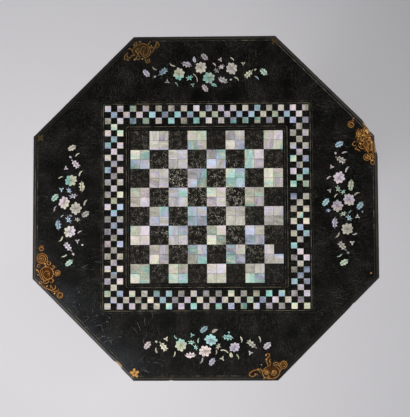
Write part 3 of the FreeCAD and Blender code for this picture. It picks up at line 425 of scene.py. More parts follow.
def japannedWood():
    look = standLook
    material, tree, shader, place = newMaterial("japannedWood", {"IOR": 1.5, "Coat Weight": 0.15, "Coat Roughness": 0.12})
    tone = layOver(tree, look["black"], look["cloud"], patches(tree, place, 40, 0.35, 0.7))
    edge = addNode(tree, "ShaderNodeAttribute", {"attribute_name": "wear"}).outputs["Fac"]
    rubbed = patches(tree, place, look["rubSize"], 0.45, 0.62, 6)
    tone = layOver(tree, tone, look["rubbed"], edge, rubbed, share=0.9)
    scales = [perMetre(size) for size in look["brushSize"]]
    strokes = addNode(tree, "ShaderNodeMapping", {}, {"Vector": place, "Scale": scales})
    ripple = addNode(tree, "ShaderNodeTexNoise", {}, {"Vector": strokes, "Scale": 1, "Detail": 2})
    dull = addNode(tree, "ShaderNodeMapRange", {}, {"Value": ripple, "To Min": 0.2, "To Max": 0.36})
    relief = addNode(tree, "ShaderNodeBump", {}, {"Height": ripple, "Strength": 0.06, "Distance": 0.1 * mm})
    for name, source in (("Base Color", tone), ("Roughness", dull), ("Normal", relief)):
        tree.links.new(next(s for s in source.outputs if s.enabled), shader.inputs[name])
    return material


# Softwood boards, planed and stained: brown with darker grain along X, black ground under the inlay
coreLook = {"pale": "#6d4f33", "dark": "#3d2917", "ground": "#141210", "grainAcross": 5, "grainAlong": 180}


def stainedBoards():
    look = coreLook
    material, tree, shader, place = newMaterial("stainedSoftwood", {"Roughness": 0.62, "Specular IOR Level": 0.2})
    scales = [perMetre(look["grainAlong"]), perMetre(look["grainAcross"]), perMetre(look["grainAcross"])]
    along = addNode(tree, "ShaderNodeMapping", {}, {"Vector": place, "Scale": scales})
    grain = addNode(tree, "ShaderNodeTexNoise", {}, {"Vector": along, "Scale": 1, "Detail": 5, "Distortion": 0.6})
    bands = addNode(tree, "ShaderNodeMapRange", {}, {"Value": grain, "From Min": 0.3, "From Max": 0.7})
    tone = layOver(tree, look["pale"], look["dark"], bands)
    normal = addNode(tree, "ShaderNodeNewGeometry").outputs["Normal"]
    up = addNode(tree, "ShaderNodeSeparateXYZ", {}, {0: normal}).outputs["Z"]
    upper = addNode(tree, "ShaderNodeMath", {"operation": "GREATER_THAN"}, {0: up, 1: 0.5})
    tone = layOver(tree, tone, look["ground"], upper)
    relief = addNode(tree, "ShaderNodeBump", {}, {"Height": grain, "Strength": 0.3, "Distance": 0.2 * mm})
    for name, source in (("Base Color", tone), ("Normal", relief)):
        tree.links.new(next(s for s in source.outputs if s.enabled), shader.inputs[name])
    return material


# Small metal parts: cast and filed brass gone brown, forged black iron, turned steel screws
metalLooks = {
    "agedBrass": {"clean": "#a8834a", "dull": "#7d5f33", "size": 9, "roughness": 0.38, "metallic": 0.9},
    "blackIron": {"clean": "#2c2a28", "dull": "#4a3527", "size": 7, "roughness": 0.55, "metallic": 0.6},
    "turnedSteel": {"clean": "#8a8780", "dull": "#55483c", "size": 4, "roughness": 0.4, "metallic": 0.9},
}


def metal(name):
    look = metalLooks[name]
    material, tree, shader, place = newMaterial(name, {"Metallic": look["metallic"]})
    stained = patches(tree, place, look["size"], 0.4, 0.68, 6)
    tone = layOver(tree, look["clean"], look["dull"], stained)
    rough = addNode(tree, "ShaderNodeMapRange", {}, {"Value": stained, "To Min": look["roughness"],
                                                     "To Max": look["roughness"] + 0.2})
    for socket, source in (("Base Color", tone), ("Roughness", rough)):
        tree.links.new(next(s for s in source.outputs if s.enabled), shader.inputs[socket])
    return material


blackLacquer = lacquerOfFace()
tileNacre = nacre("polishedNacre", False)
borderNacre = nacre("borderNacre", False)
sprayNacre = nacre("engravedNacre", True)
giltScroll, rubbedGilt, fadedGilt, brownSize = [gilding(name) for name in giltLooks]
goldLine, faintLine, scratchLine, edgeLine = [wornLine(name) for name in wornLineLooks]
edgeBlack = edgeLacquer()
standBlack = japannedWood()
boards = stainedBoards()
brass, iron, steel = [metal(name) for name in metalLooks]
print("materials:", len(bpy.data.materials))


# Tiles: the CAD tiles with a chamfered, slightly uneven top and a piece of shell of their own
tiles = {
    "lift": 0.10, "chamfer": 0.4, "tilt": 0.004,
    "board_tiles": {"First Tone": 0, "Square Tones": 1, "Tile Tones": 0.4, "Dim": -0.3, "Bright": 1.2, "Seed": 11,
                    "Material": tileNacre},
    "border_tiles": {"First Tone": 0.62, "Square Tones": 0, "Tile Tones": 0.92, "Dim": -0.7, "Bright": 1.1, "Seed": 5,
                     "Material": borderNacre},
}


def tileTree():
    tree, given = newTree("handLaidTiles", {"Geometry": "Geometry", "Lift": "Float", "Inner": "Float", "Tilt": "Float",
                                            "Square": "Float", "First Tone": "Float", "Square Tones": "Float",
                                            "Tile Tones": "Float", "Dim": "Float", "Bright": "Float", "Seed": "Int",
                                            "Material": "Material"})
    normal = addNode(tree, "GeometryNodeInputNormal")
    upward = addNode(tree, "ShaderNodeSeparateXYZ", {}, {0: normal}).outputs["Z"]
    isTop = addNode(tree, "FunctionNodeCompare", {"operation": "GREATER_THAN"}, {"A": upward, "B": 0.5})
    raised = addNode(tree, "GeometryNodeExtrudeMesh", {"mode": "FACES"},
                     {"Mesh": given["Geometry"], "Selection": isTop, "Offset Scale": given["Lift"], "Individual": True})
    eased = addNode(tree, "GeometryNodeScaleElements", {}, {"Geometry": raised.outputs["Mesh"],
                                                            "Selection": raised.outputs["Top"], "Scale": given["Inner"]})
    island = addNode(tree, "GeometryNodeInputMeshIsland").outputs["Island Index"]
    position = addNode(tree, "GeometryNodeInputPosition")
    total = addNode(tree, "GeometryNodeAccumulateField", {"data_type": "FLOAT_VECTOR"},
                    {"Value": position, "Group ID": island}).outputs["Total"]
    count = addNode(tree, "GeometryNodeAccumulateField", {"data_type": "INT"},
                    {"Value": 1, "Group ID": island}).outputs["Total"]
    middle = addNode(tree, "ShaderNodeVectorMath", {"operation": "DIVIDE"}, {0: total, 1: count})
    square = addNode(tree, "ShaderNodeVectorMath", {"operation": "SNAP"}, {0: middle, 1: given["Square"]})
    square = addNode(tree, "FunctionNodeHashValue", {"data_type": "VECTOR"}, {"Value": square, "Seed": given["Seed"]})
    facts = {}
    spans = {"tint": (0, given["Tile Tones"]), "shade": (given["Dim"], given["Bright"]), "turn": (0, 1)}
    for k, (name, (least, most)) in enumerate(spans.items()):
        seed = addNode(tree, "ShaderNodeMath", {"operation": "ADD"}, {0: given["Seed"], 1: k})
        facts[name] = addNode(tree, "FunctionNodeRandomValue", {"data_type": "FLOAT"},
                              {"Min": least, "Max": most, "ID": island, "Seed": seed})
    shared = addNode(tree, "FunctionNodeRandomValue", {"data_type": "FLOAT"},
                     {"Max": given["Square Tones"], "ID": square, "Seed": given["Seed"]})
    for part in (shared, given["First Tone"]):
        facts["tint"] = addNode(tree, "ShaderNodeMath", {"operation": "ADD"}, {0: facts["tint"], 1: part})
    facts["grime"] = addNode(tree, "ShaderNodeMath", {"operation": "SUBTRACT"}, {0: 1, 1: raised.outputs["Top"]})
    shape = eased
    for name, value in facts.items():
        shape = addNode(tree, "GeometryNodeStoreNamedAttribute", {"data_type": "FLOAT", "domain": "POINT"},
                        {"Geometry": shape, "Name": name, "Value": value})
    arm = addNode(tree, "ShaderNodeVectorMath", {"operation": "SUBTRACT"}, {0: position, 1: middle})
    back = addNode(tree, "ShaderNodeMath", {"operation": "MULTIPLY"}, {0: given["Tilt"], 1: -1})
    lean = addNode(tree, "FunctionNodeRandomValue", {"data_type": "FLOAT_VECTOR"},
                   {"Min": back, "Max": given["Tilt"], "ID": island, "Seed": given["Seed"]})
    rise = addNode(tree, "ShaderNodeVectorMath", {"operation": "DOT_PRODUCT"}, {0: arm, 1: lean})
    offset = addNode(tree, "ShaderNodeCombineXYZ", {}, {2: rise.outputs["Value"]})
    laid = addNode(tree, "GeometryNodeSetPosition", {}, {"Geometry": shape, "Offset": offset})
    closeTree(tree, laid, given["Material"])
    return tree


def layTiles():
    tree = tileTree()
    for node in ("board_tiles", "border_tiles"):
        copy = mergedCopy(node)
        side = min(edge.calc_length() for edge in copy.edges if abs(edge.verts[0].co.z - edge.verts[1].co.z) < 0.1 * mm)
        source = meshFrom(copy, node + "Source")
        values = {"Lift": tiles["lift"] * mm, "Inner": 1 - 2 * tiles["chamfer"] * mm / side, "Tilt": tiles["tilt"],
                  "Square": boardHalf / 4} | tiles[node]
        putPiece(node.replace("_t", "T"), runTree(tree, source, values), "top", "mother_of_pearl", (node,))


layTiles()
print("tiles laid")


# Sprays: flowers, buds and leaves with eased edges, and u and v along and across each piece for the engraving
# "light" lifts the shade of the bottom and left sprays above the top and right ones: painted sheen of the lamp at the
# lower left
sprays = {"chamfer": 0.25, "lift": 0.12, "round": 1.35, "flowerSize": 9, "toneVaries": 0.05, "seed": 23,
          "light": {"spray_top": 0.15, "spray_right": 0.45, "spray_bottom": 1.1, "spray_left": 0.95}}
fieldSides = {"spray_top": (0, 1), "spray_right": (1, 0), "spray_bottom": (0, -1), "spray_left": (-1, 0)}
shellTones = {"grey": 0.0, "beige": 0.1, "lavender": 0.22, "pink": 0.31, "cream": 0.41, "yellow": 0.5, "green": 0.57,
              "teal": 0.64, "mist": 0.7, "blue": 0.76, "mauve": 0.85}
sprayTones = {      # tones at these places, in mm right of and above the middle of the field; two in a piece shade over
    "spray_top": {
        "pink": [(0, 26), (20, 2), (1, -28), (29, 9)], "teal": [(-25, -10), (7, -10), (-43, -10), (-47, -20), (-20, -21)],
        "mist": [(-71, 1)], "green": [(100, -1)], "lavender": [(-98, -1), (-30, 13), (31, -13), (-17, 22)],
        "grey": [(-6, 12), (-85, 7)], "beige": [(-6, 4), (46, 6), (-54, 13), (65, 14)],
        "cream": [(54, -12), (75, -3), (-63, -16), (-15, -9), (-43, 4)], "blue": [(88, -10)],
    },
    "spray_right": {
        "blue": [(-2, 104), (13, -21), (-21, -8)], "mist": [(-26, 7), (31, 0)], "pink": [(0, 78), (-3, 47), (13, 6), (-6, -4)],
        "yellow": [(16, 35), (3, -14)], "green": [(-5, 28), (4, -94), (4, 23)],
        "lavender": [(13, 14), (-7, 4), (-11, -28)], "beige": [(9, -39)], "cream": [(-7, -49), (26, 20), (-9, 17)],
        "grey": [(1, -67), (-19, 26), (27, -18), (17, -62)],
    },
    "spray_bottom": {
        "pink": [(-96, -3), (-25, -19), (-1, -13)], "lavender": [(48, -7), (11, -30), (103, -4)], "cream": [(-70, -5), (-66, 7), (28, -25), (42, -19)],
        "yellow": [(-41, -7)], "green": [(-41, 1), (-16, -7)], "teal": [(-23, 1), (37, 9)], "mist": [(9, 6)], "blue": [(-2, 23)],
        "grey": [(77, -2), (15, 20), (21, -5)], "beige": [(59, 6), (90, 6)],
    },
    "spray_left": {
        "beige": [(4, 101), (-15, 50), (-3, -41)], "lavender": [(9, 73), (6, 19), (4, -41)], "green": [(-2, 45), (-24, 17), (0, -93)], "mist": [(-18, -29)],
        "cream": [(7, 45), (20, 35), (-5, 5), (-14, -54)], "pink": [(-13, 10), (-2, -67)],
        "blue": [(-1, 28), (-1, -21)], "grey": [(11, -2), (27, -11), (14, -21)],
    },
}


def islandsOf(shape):
    left = set(shape.faces)
    while left:
        group, edge = set(), [left.pop()]
        while edge:
            face = edge.pop()
            group.add(face)
            near = {f for e in face.edges for f in e.link_faces} & left
            left -= near
            edge += near
        yield group


def mainAxis(points):                           # long direction of a flat set of points
    xx = sum(p.x * p.x for p in points)
    yy = sum(p.y * p.y for p in points)
    xy = sum(p.x * p.y for p in points)
    angle = math.atan2(2 * xy, xx - yy) / 2
    return Vector((math.cos(angle), math.sin(angle), 0))


def pieceTones(node, middle, reach):            # places and tones listed inside a piece, else the nearest one
    right, up = fieldSides[node]
    field = (faceHalf + borderHalf) / 2
    listed = [(Vector((right * field + x * mm, up * field + y * mm)), shellTones[tone])
              for tone, places in sprayTones[node].items() for x, y in places]
    listed.sort(key=lambda entry: (entry[0] - middle).length)
    inside = [entry for entry in listed[:2] if (entry[0] - middle).length < reach]
    return inside or listed[:1]


def shadeOver(tones, spot):                     # tone at a spot, even along the line from one place to the next
    (start, first), (end, last) = tones[0], tones[-1]
    share = (spot - start).dot(end - start) / max((end - start).length_squared, 1e-12)
    return first + (last - first) * share


def laySprays():
    chance = random.Random(sprays["seed"])
    for node in sprayTones:
        shape = mergedCopy(node)
        layers = {name: shape.verts.layers.float.new(name) for name in ("tint", "shade", "turn", "grime", "u", "v", "flower")}
        groups = sorted(islandsOf(shape), key=lambda g: [round(c, 4) for c in min(f.calc_center_median() for f in g)])
        for group in groups:
            verts = {v for face in group for v in face.verts}
            middle = sum((v.co for v in verts), Vector()) / len(verts)
            along = mainAxis([v.co - middle for v in verts])
            across = Vector((-along.y, along.x, 0))
            long = max(abs((v.co - middle).dot(along)) for v in verts)
            wide = max(abs((v.co - middle).dot(across)) for v in verts)
            isFlower = long < sprays["round"] * wide and long > sprays["flowerSize"] / 2 * mm
            tones = pieceTones(node, middle.xy, long * 0.75)
            varied = chance.uniform(-1, 1) * sprays["toneVaries"]
            # shade: each piece's random tone plus its spray's painted sheen
            facts = {"shade": chance.uniform(-0.6, 0.6) + sprays["light"][node], "turn": chance.random(), "flower": float(isFlower)}
            for v in verts:
                for name, value in facts.items():
                    v[layers[name]] = value
                v[layers["tint"]] = shadeOver(tones, v.co.xy) + varied
                v[layers["u"]] = (v.co - middle).dot(along) / long
                v[layers["v"]] = (v.co - middle).dot(across) / wide
        upper = [f for f in shape.faces if f.normal.z > 0.5]
        bmesh.ops.inset_region(shape, faces=upper, thickness=sprays["chamfer"] * mm, depth=sprays["lift"] * mm,
                               use_even_offset=True)
        mesh = meshFrom(shape, node)
        putPiece(node.replace("_", "") + "Nacre", mesh, "top", "mother_of_pearl", (node,), [sprayNacre])


laySprays()
print("sprays laid")


# Painted gold lines: double frames round the board and round the border, and one along the edge
lines = {
    "thickness": 0.06, "corner": 3,
    "fromBoard": ((3.4, 0.6, faintLine), (7.4, 0.7, goldLine)),         # gap, width and finish of each line
    "fromBorder": ((2.8, 0.85, goldLine), (6.2, 0.5, faintLine)), "fromEdge": (8.2, 1.1, edgeLine),
}


def lineTree():
    tree, given = newTree("paintedRing", {"Half": "Float", "Corner": "Float", "Width": "Float", "Thickness": "Float",
                                           "Shift": "Float", "Level": "Float", "Sides": "Int", "Turn": "Float", "Material": "Material"})
    ring = addNode(tree, "GeometryNodeCurvePrimitiveCircle", {"mode": "RADIUS"},
                   {"Resolution": given["Sides"], "Radius": given["Half"]})
    turn = addNode(tree, "ShaderNodeCombineXYZ", {}, {2: given["Turn"]})
    lift = addNode(tree, "ShaderNodeCombineXYZ", {}, {0: given["Shift"], 2: given["Level"]})
    placed = addNode(tree, "GeometryNodeTransform", {}, {"Geometry": ring, "Translation": lift, "Rotation": turn})
    eased = addNode(tree, "GeometryNodeFilletCurve", {"mode": "POLY"},
                    {"Curve": placed, "Radius": given["Corner"], "Count": 5})
    upright = addNode(tree, "GeometryNodeSetCurveNormal", {"mode": "Z_UP"}, {"Curve": eased})
    section = addNode(tree, "GeometryNodeCurvePrimitiveQuadrilateral", {},
                      {"Width": given["Width"], "Height": given["Thickness"]})
    strip = addNode(tree, "GeometryNodeCurveToMesh", {}, {"Curve": upright, "Profile Curve": section})
    closeTree(tree, strip, given["Material"])
    return tree


ringTree = lineTree()


def paintLines():
    plans = []
    for half, gaps in ((boardHalf, lines["fromBoard"]), (borderHalf, lines["fromBorder"])):
        for gap, width, finish in gaps:
            plans.append(("goldFrame%d" % len(plans), half + gap * mm, 4, width, boardShift, finish))
    gap, width, finish = lines["fromEdge"]
    plans.append(("goldEdgeLine", rimHalf - gap * mm, 8, width, 0, finish))
    for name, half, sides, width, shift, finish in plans:
        values = {"Half": half / math.cos(math.pi / sides), "Corner": lines["corner"] * mm, "Width": width * mm,
                  "Thickness": lines["thickness"] * mm, "Shift": shift, "Level": topLevel, "Sides": sides,
                  "Turn": math.pi / sides, "Material": finish}
        putPiece(name, runTree(ringTree, bpy.data.meshes.new(name), values), "top")


paintLines()
print("gold lines painted")


# Gilt corner scrolls: brush strokes in mm about each ornament's middle.
# curl: x, y, radius, start in degrees, turns, inner share; sweep: points of one stroke; dot: x, y, radius
scrolls = {
    "gold": {"brush": {"upperLeft": 1.0, "lowerLeft": 1.05, "lowerRight": 1.1, "upperRight": 0.75}, "height": 0.18,
             "glow": {"upperLeft": 0.15, "lowerLeft": 0.85, "lowerRight": 0.6, "upperRight": 0.9}},
    "size": {"brush": {"upperLeft": 5.0, "lowerLeft": 4.8, "lowerRight": 5.4, "upperRight": 3.2}, "height": 0.007,
             "glow": {"upperLeft": 0.15, "lowerLeft": 0.85, "lowerRight": 0.6, "upperRight": 0.3}},
    "lace": {"from": (-3, 19), "to": (12, -33), "spread": (12, 6), "count": 26, "radius": (1.6, 3.8), "turns": (0.5, 1.2),
             "inner": 0.45, "seed": 8},
    "dotSides": 10,
    "starGlow": 0.8, "patchGlow": 0.45,
    "stepsPerTurn": 18, "stepsPerSpan": 6,
    "places": {"upperLeft": (-106.2, 266.2), "lowerLeft": (-265.6, -111.9), "lowerRight": (108.4, -277.0),
               "upperRight": (267.9, 112.4)},
    "grounds": {        # brown size brushed inside the medallions: x, y, radius, lobes, depth of the lobes, turn
        "upperLeft": [(-1, 0, 12, 2, 0.25, 0.1)], "lowerLeft": [(0, 1, 11.2, 2, 0.06, 0), (-8.2, 25.4, 9, 2, 0.05, 1)],
        "lowerRight": [(-0.5, 1, 11.5, 2, 0.16, 0), (20.5, 14, 6.8, 2, 0.05, 0)],
        "upperRight": [(-21.8, 24.4, 5.4, 2, 0.05, 0), (3.9, -31.5, 5.4, 2, 0.05, 0)],
    },
    "upperLeft": {
        "curls": [(-6.8, -1.4, 4.7, 40, 1.3, 0.3), (-6.1, -12.8, 3.1, 0, 1.0, 1.0), (-10.8, 11.7, 2.8, 200, 1.0, 0.5)],
        "sweeps": [
            [(-11.7, -9), (-16.2, -1), (-11.7, 6.3), (0, 11.3), (9, 8.5), (13.5, 2.7), (14.4, -3.6), (12.2, -9),
             (5.9, -12.6), (0.9, -8.6), (-2.3, -3.6), (-0.5, 3), (2.5, 6.5), (6, 5), (5, 1.5)],
            [(9.5, 5), (11, -3), (8, -8.3), (4, -8), (2.5, -3.5), (4.2, 1)],
            [(5.9, -12.6), (6, -17), (9, -21.5), (13, -19.5), (12.5, -15.5), (9.5, -17)],
            [(-23, -4), (-28, -8), (-29.3, -13), (-28, -17.5)],
            [(-24.5, -7), (-25, -11), (-20, -13), (-16.5, -9), (-11.7, -9)], [(-26, -14.8), (-21.8, -17.5)],
            [(14.4, -2), (18, -4), (20.7, 3), (24, 9), (25.5, 14), (29.5, 9), (27, 4.5), (21.5, 3.5)],
            [(22.5, 5.5), (26, 10)], [(-16.2, -1), (-20, 3), (-23, 1.5)], [(13, 5), (17, 4), (20, 5)],
        ],
        "dots": [(-3.2, 14.4, 1.3), (11.7, 11.3, 1.3), (16.2, 7.2, 1.3), (14.4, 14.2, 0.9), (-12.2, -15.8, 1.8),
                 (0.9, -15.1, 1.5), (9.5, -17.4, 1.0), (-9.8, -2, 1.1), (-6.4, -6.4, 1.2), (-13.5, 8.5, 1.0)],
    },
    "lowerLeft": {
        "curls": [(-8.2, 25.4, 10.2, -60, 2.4, 0.22), (-8.4, 42.6, 4.6, 60, 1.3, 0.35), (18, 2, 5.4, 200, 1.5, 0.35),
                  (-13.3, 13.3, 2.8, 0, 1.0, 0.6), (4, 18, 3.3, 90, 1.0, 0.7), (-10, -14, 2.2, 90, 1.0, 0.8),
                  (22.8, -35.2, 5.9, 100, 1.7, 0.4)],
        "sweeps": [
            [(-7, -10), (-10.8, -4), (-11, 3), (-7.5, 9.5), (0, 12), (7.5, 9.3), (11.2, 3), (10, -4.5), (5, -8.5), (-1, -8),
             (-5, -3.5), (-4.5, 2), (0, 5), (4.5, 3), (4.5, -1.5), (1, -2)],
            [(-6.6, 6.6), (-8, -1.3), (-5.3, -9.3), (-1, -12.5)],
            [(10, 4), (10.6, 9), (13.5, 11.5), (11, 13.8), (8.8, 12.5)],
            [(-5.3, -11), (-3.5, -15.2), (2, -14.5), (3.5, -11.5), (-0.5, -10), (-3, -12)],
            [(4, -7), (9, -8), (11.5, -11), (8.5, -14.5), (6, -13)],
            [(-8, -16), (-6, -20), (0, -24), (8, -27), (14, -29), (19, -27.5), (20.5, -25)],
            [(10, -22), (11, -26), (15, -23.5), (14, -18.5)], [(5, -18.5), (8, -20.5), (6.5, -24)],
            [(-4, 17), (-1, 14), (-4, 12)],
        ],
        "dots": [(-3.3, 17.3, 1.6), (13.3, -32.5, 1.5), (-16.5, 6.5, 1.5), (-14, 4.3, 1.5), (-14.6, -1.5, 1.2),
                 (0.7, -20.3, 1.2), (18, 2, 1.2), (-9.5, 26, 1.3), (2.5, 1, 1.0)],
    },
    "lowerRight": {
        "curls": [(-7.2, 1.5, 5.0, 80, 2.0, 0.25), (4.6, 0.8, 5.2, 190, 1.8, 0.25), (20.5, 14, 7.6, 150, 2.1, 0.22)],
        "sweeps": [
            [(-4.6, 10.8), (-10, 8), (-14.2, 1), (-12.5, -5), (-8, -8), (-1.5, -9.2), (7, -8), (12.5, -3.5), (14, 1.5),
             (12, 7.5), (6.5, 11)],
            [(-3.6, -3), (-5.5, -6), (-2.5, -7), (-1.5, -4)],
            [(-17.5, 0), (-20, 4.2), (-27, 4.6), (-34, 1), (-36, -3), (-32, -5.8), (-27, -4.3), (-24.5, -1.5), (-22, -3)],
            [(-4.6, 10.8), (-5.7, 15), (-8, 20.5), (-6, 24.5), (-2.8, 27.5), (-3, 31), (-6.5, 32)],
            [(-2.5, 11.5), (-1, 16), (-2.5, 20), (0, 23.5)],
            [(3, 13.5), (7, 17.5), (12, 15), (13.5, 9.5)], [(4, 11), (7.5, 13.8), (10.5, 11.5)],
            [(14, 1.5), (17, 6), (15.5, 10)], [(-14, 2), (-17, 6), (-20.5, 6)],
        ],
        "dots": [(-21.6, 6.2, 1.2), (-16, 13.4, 1.0), (-11.8, -9, 1.2), (-8.2, 29.5, 1.6), (-7.6, 22, 1.5), (3.4, 2, 1.4),
                 (-7.2, 1.5, 1.2), (-26, -2, 1.2)],
    },
    "upperRight": {
        "curls": [(-21.8, 24.4, 6.2, 60, 1.7, 0.3), (3.9, -31.5, 6.2, 100, 1.6, 0.3), (13.5, -39.8, 3.6, 0, 1.0, 1.0),
                  (-10, 6, 3.2, 0, 1.2, 0.5), (5, -17, 3.0, 90, 1.2, 0.5), (13, -14, 2.6, 10, 1.1, 0.5)],
        "sweeps": [
            [(-18, 29.5), (-19, 33.5), (-16.5, 36.5)], [(8, -25), (12, -26.5), (16, -31), (18, -33.5)],
            [(-12, 14), (-9, 10), (-13, 6), (-9, 2), (-12, -2)], [(-6, 16), (-3, 10), (2, 12), (5, 7), (1, 4)],
            [(-7, 4), (-4, -2), (-1, -7), (-5, -11)], [(0, 1), (3, -4), (6, -9), (4, -14)],
            [(7, 3), (9, -4), (12, -9), (10, -14)], [(-16, -4), (-20, -8), (-18, -12), (-14, -10)],
            [(-12, -13), (-16, -17), (-11, -18), (-8, -21)], [(12, -16), (13, -21), (14.5, -26)],
            [(-8, -6), (-10, -11), (-6, -16), (0, -17)], [(-2, 20), (3, 18), (7, 13), (9, 8)], [(-1, -11), (1, -15), (6, -22)],
        ],
        "dots": [(5, 11, 2.0), (-3, 6, 1.5), (9, 2, 1.6), (-7, -8, 1.4), (12, -6, 1.5), (3.9, -31.5, 1.3), (3, 14, 1.8)],
    },
}


def smoothPath(points):                         # a brush stroke through a few points
    ends = [points[0]] + list(points) + [points[-1]]
    path = []
    for a, b, c, d in zip(ends, ends[1:], ends[2:], ends[3:]):
        for k in range(scrolls["stepsPerSpan"]):
            t = k / scrolls["stepsPerSpan"]
            weights = (-t + 2 * t * t - t ** 3, 2 - 5 * t * t + 3 * t ** 3, t + 4 * t * t - 3 * t ** 3, t ** 3 - t * t)
            path.append(tuple(sum(w * p[i] for w, p in zip(weights, (a, b, c, d))) / 2 for i in (0, 1)))
    return path + [tuple(points[-1])]


def curlPath(x, y, radius, start, turns, inner):
    count = round(turns * scrolls["stepsPerTurn"])
    path = []
    for k in range(count + 1):
        angle = math.radians(start) + math.tau * turns * k / count
        reach = radius * (1 + (inner - 1) * k / count)
        path.append((x + reach * math.cos(angle), y + reach * math.sin(angle)))
    return path


def laceCurls():                                # small worn curls over the upper right corner
    lace = scrolls["lace"]
    chance = random.Random(lace["seed"])
    start, end = Vector(lace["from"]), Vector(lace["to"])
    for _ in range(lace["count"]):
        share = chance.random()
        spread = lace["spread"][0] + (lace["spread"][1] - lace["spread"][0]) * share
        x, y = start.lerp(end, share)
        yield (x + chance.uniform(-1, 1) * spread, y + chance.uniform(-1, 1) * spread / 2, chance.uniform(*lace["radius"]),
               chance.uniform(0, 360), chance.uniform(*lace["turns"]), lace["inner"])


def scrollStrokes(layer):                       # path, brush and glow of every stroke
    for name, (cx, cy) in scrolls["places"].items():
        plan = scrolls[name]
        curls = plan["curls"] + (list(laceCurls()) if name == "upperRight" else [])
        for path in [curlPath(*curl) for curl in curls] + [smoothPath(sweep) for sweep in plan["sweeps"]]:
            path = [(cx + x, cy + y) for x, y in path]
            # strokes past the flat face are pressed onto its edge, where they draw a thin gold line that is partly gilt
            # and partly a painted highlight along the chipped edge
            if name == "upperRight":            # the edge is chipped away here
                path = [onFace(x * mm, y * mm) / mm for x, y in path]
            yield path, scrolls[layer]["brush"][name], scrolls[layer]["glow"][name]


def strokeMesh(strokes):                        # chains of edges, with the brush's width and the glow at each point
    verts, edges, widths, glows = [], [], [], []
    for path, brush, glow in strokes:
        for k, (x, y) in enumerate(path):
            px, py = x * mm, y * mm
            swell = 0.55 + 0.45 * math.sin(math.pi * k / (len(path) - 1))
            verts.append((px, py, surfaceLevel(px, py)))
            widths.append(brush * mm / 2 * swell * (0.85 + 0.3 * noise.noise((px * 400, py * 400, 3.7))))
            glows.append(glow * (0.9 + 0.5 * noise.noise((px * 250, py * 250, 9.1))))
            if k:
                edges.append((len(verts) - 2, len(verts) - 1))
    mesh = bpy.data.meshes.new("strokes")
    mesh.from_pydata(verts, edges, [])
    for label, values in (("brush", widths), ("glow", glows)):
        mesh.attributes.new(label, "FLOAT", "POINT").data.foreach_set("value", values)
    return mesh


def strokeTree():
    tree, given = newTree("brushStrokes", {"Geometry": "Geometry", "Height": "Float", "Material": "Material"})
    brush = addNode(tree, "GeometryNodeInputNamedAttribute", {"data_type": "FLOAT"}, {"Name": "brush"})
    position = addNode(tree, "GeometryNodeInputPosition")
    level = addNode(tree, "ShaderNodeSeparateXYZ", {}, {0: position}).outputs["Z"]
    kept = addNode(tree, "GeometryNodeStoreNamedAttribute", {"data_type": "FLOAT", "domain": "POINT"},
                   {"Geometry": given["Geometry"], "Name": "ground", "Value": level})
    path = addNode(tree, "GeometryNodeMeshToCurve", {}, {"Mesh": kept})
    section = addNode(tree, "GeometryNodeCurvePrimitiveCircle", {"mode": "RADIUS"}, {"Resolution": 8, "Radius": 1})
    tube = addNode(tree, "GeometryNodeCurveToMesh", {}, {"Curve": path, "Profile Curve": section, "Scale": brush,
                                                         "Fill Caps": True})
    ground = addNode(tree, "GeometryNodeInputNamedAttribute", {"data_type": "FLOAT"}, {"Name": "ground"})
    spot = addNode(tree, "ShaderNodeSeparateXYZ", {}, {0: position}).outputs
    above = addNode(tree, "ShaderNodeMath", {"operation": "SUBTRACT"}, {0: spot["Z"], 1: ground})
    flat = addNode(tree, "ShaderNodeMath", {"operation": "MULTIPLY_ADD"}, {0: above, 1: given["Height"], 2: ground})
    pressed = addNode(tree, "ShaderNodeCombineXYZ", {}, {0: spot["X"], 1: spot["Y"], 2: flat})
    painted = addNode(tree, "GeometryNodeSetPosition", {}, {"Geometry": tube, "Position": pressed})
    closeTree(tree, painted, given["Material"])
    return tree


def layOnTop(mesh):                             # paint follows the top, also over its rounded edge
    for v, ground in zip(mesh.vertices, mesh.attributes["ground"].data):
        v.co.z += surfaceLevel(v.co.x, v.co.y) - ground.value
    return mesh


def flatPatch(name, outlines, material, lift=0.05):     # thin paint in closed outlines, each with its glow
    shape = bmesh.new()
    glow = shape.verts.layers.float.new("glow")
    for outline, amount in outlines:
        ring = [shape.verts.new((x, y, surfaceLevel(x, y) + lift * mm)) for x, y in outline]
        for v in ring:
            v[glow] = amount
        under = bmesh.ops.extrude_face_region(shape, geom=[shape.faces.new(ring)])["geom"]
        for v in (g for g in under if isinstance(g, bmesh.types.BMVert)):
            v.co.z -= (lift + 0.04) * mm
    bmesh.ops.recalc_face_normals(shape, faces=shape.faces)
    return putPiece(name, meshFrom(shape, name), "top", "", (), [material])


def lobedRing(x, y, radius, lobes, depth, turn, count=40):
    ring = []
    for k in range(count):
        angle = math.tau * k / count
        reach = radius * (1 + depth * math.cos(lobes * (angle - turn)) + 0.12 * noise.noise((x + k, y, 0.3)))
        ring.append(((x + reach * math.cos(angle)) * mm, (y + reach * math.sin(angle)) * mm))
    return ring


patchesOfGilt = {       # x, y, radius, lobes, depth of the lobes, turn
    "star": (-118.1, -277.2, 4.5, 2.9, 5), "speck": (275.6, -112.5, 1.4, 3, 0.3, 0),
    "cross": (-277.6, 117.5, 5.0, 4, 0.34, 0.8), "remnant": (117.6, 279.5, 4.0, 3, 0.4, 0.2),
    "wornCorner": [(-2.6, 23), (5.1, 23), (9.6, 15), (15.5, 2), (17.2, -8), (18, -20), (18.2, -31), (14, -29), (7.7, -25.7),
                   (-2.6, -19.3), (-12.2, -9.6), (-15.4, 2), (-14.4, 11), (-10.3, 17.3)],
}


def onFace(x, y):                               # the nearest place that is still on the flat face
    return min(1, (faceHalf - 0.2 * mm) / octagonReach(x, y)) * Vector((x, y))


brushTree = strokeTree()


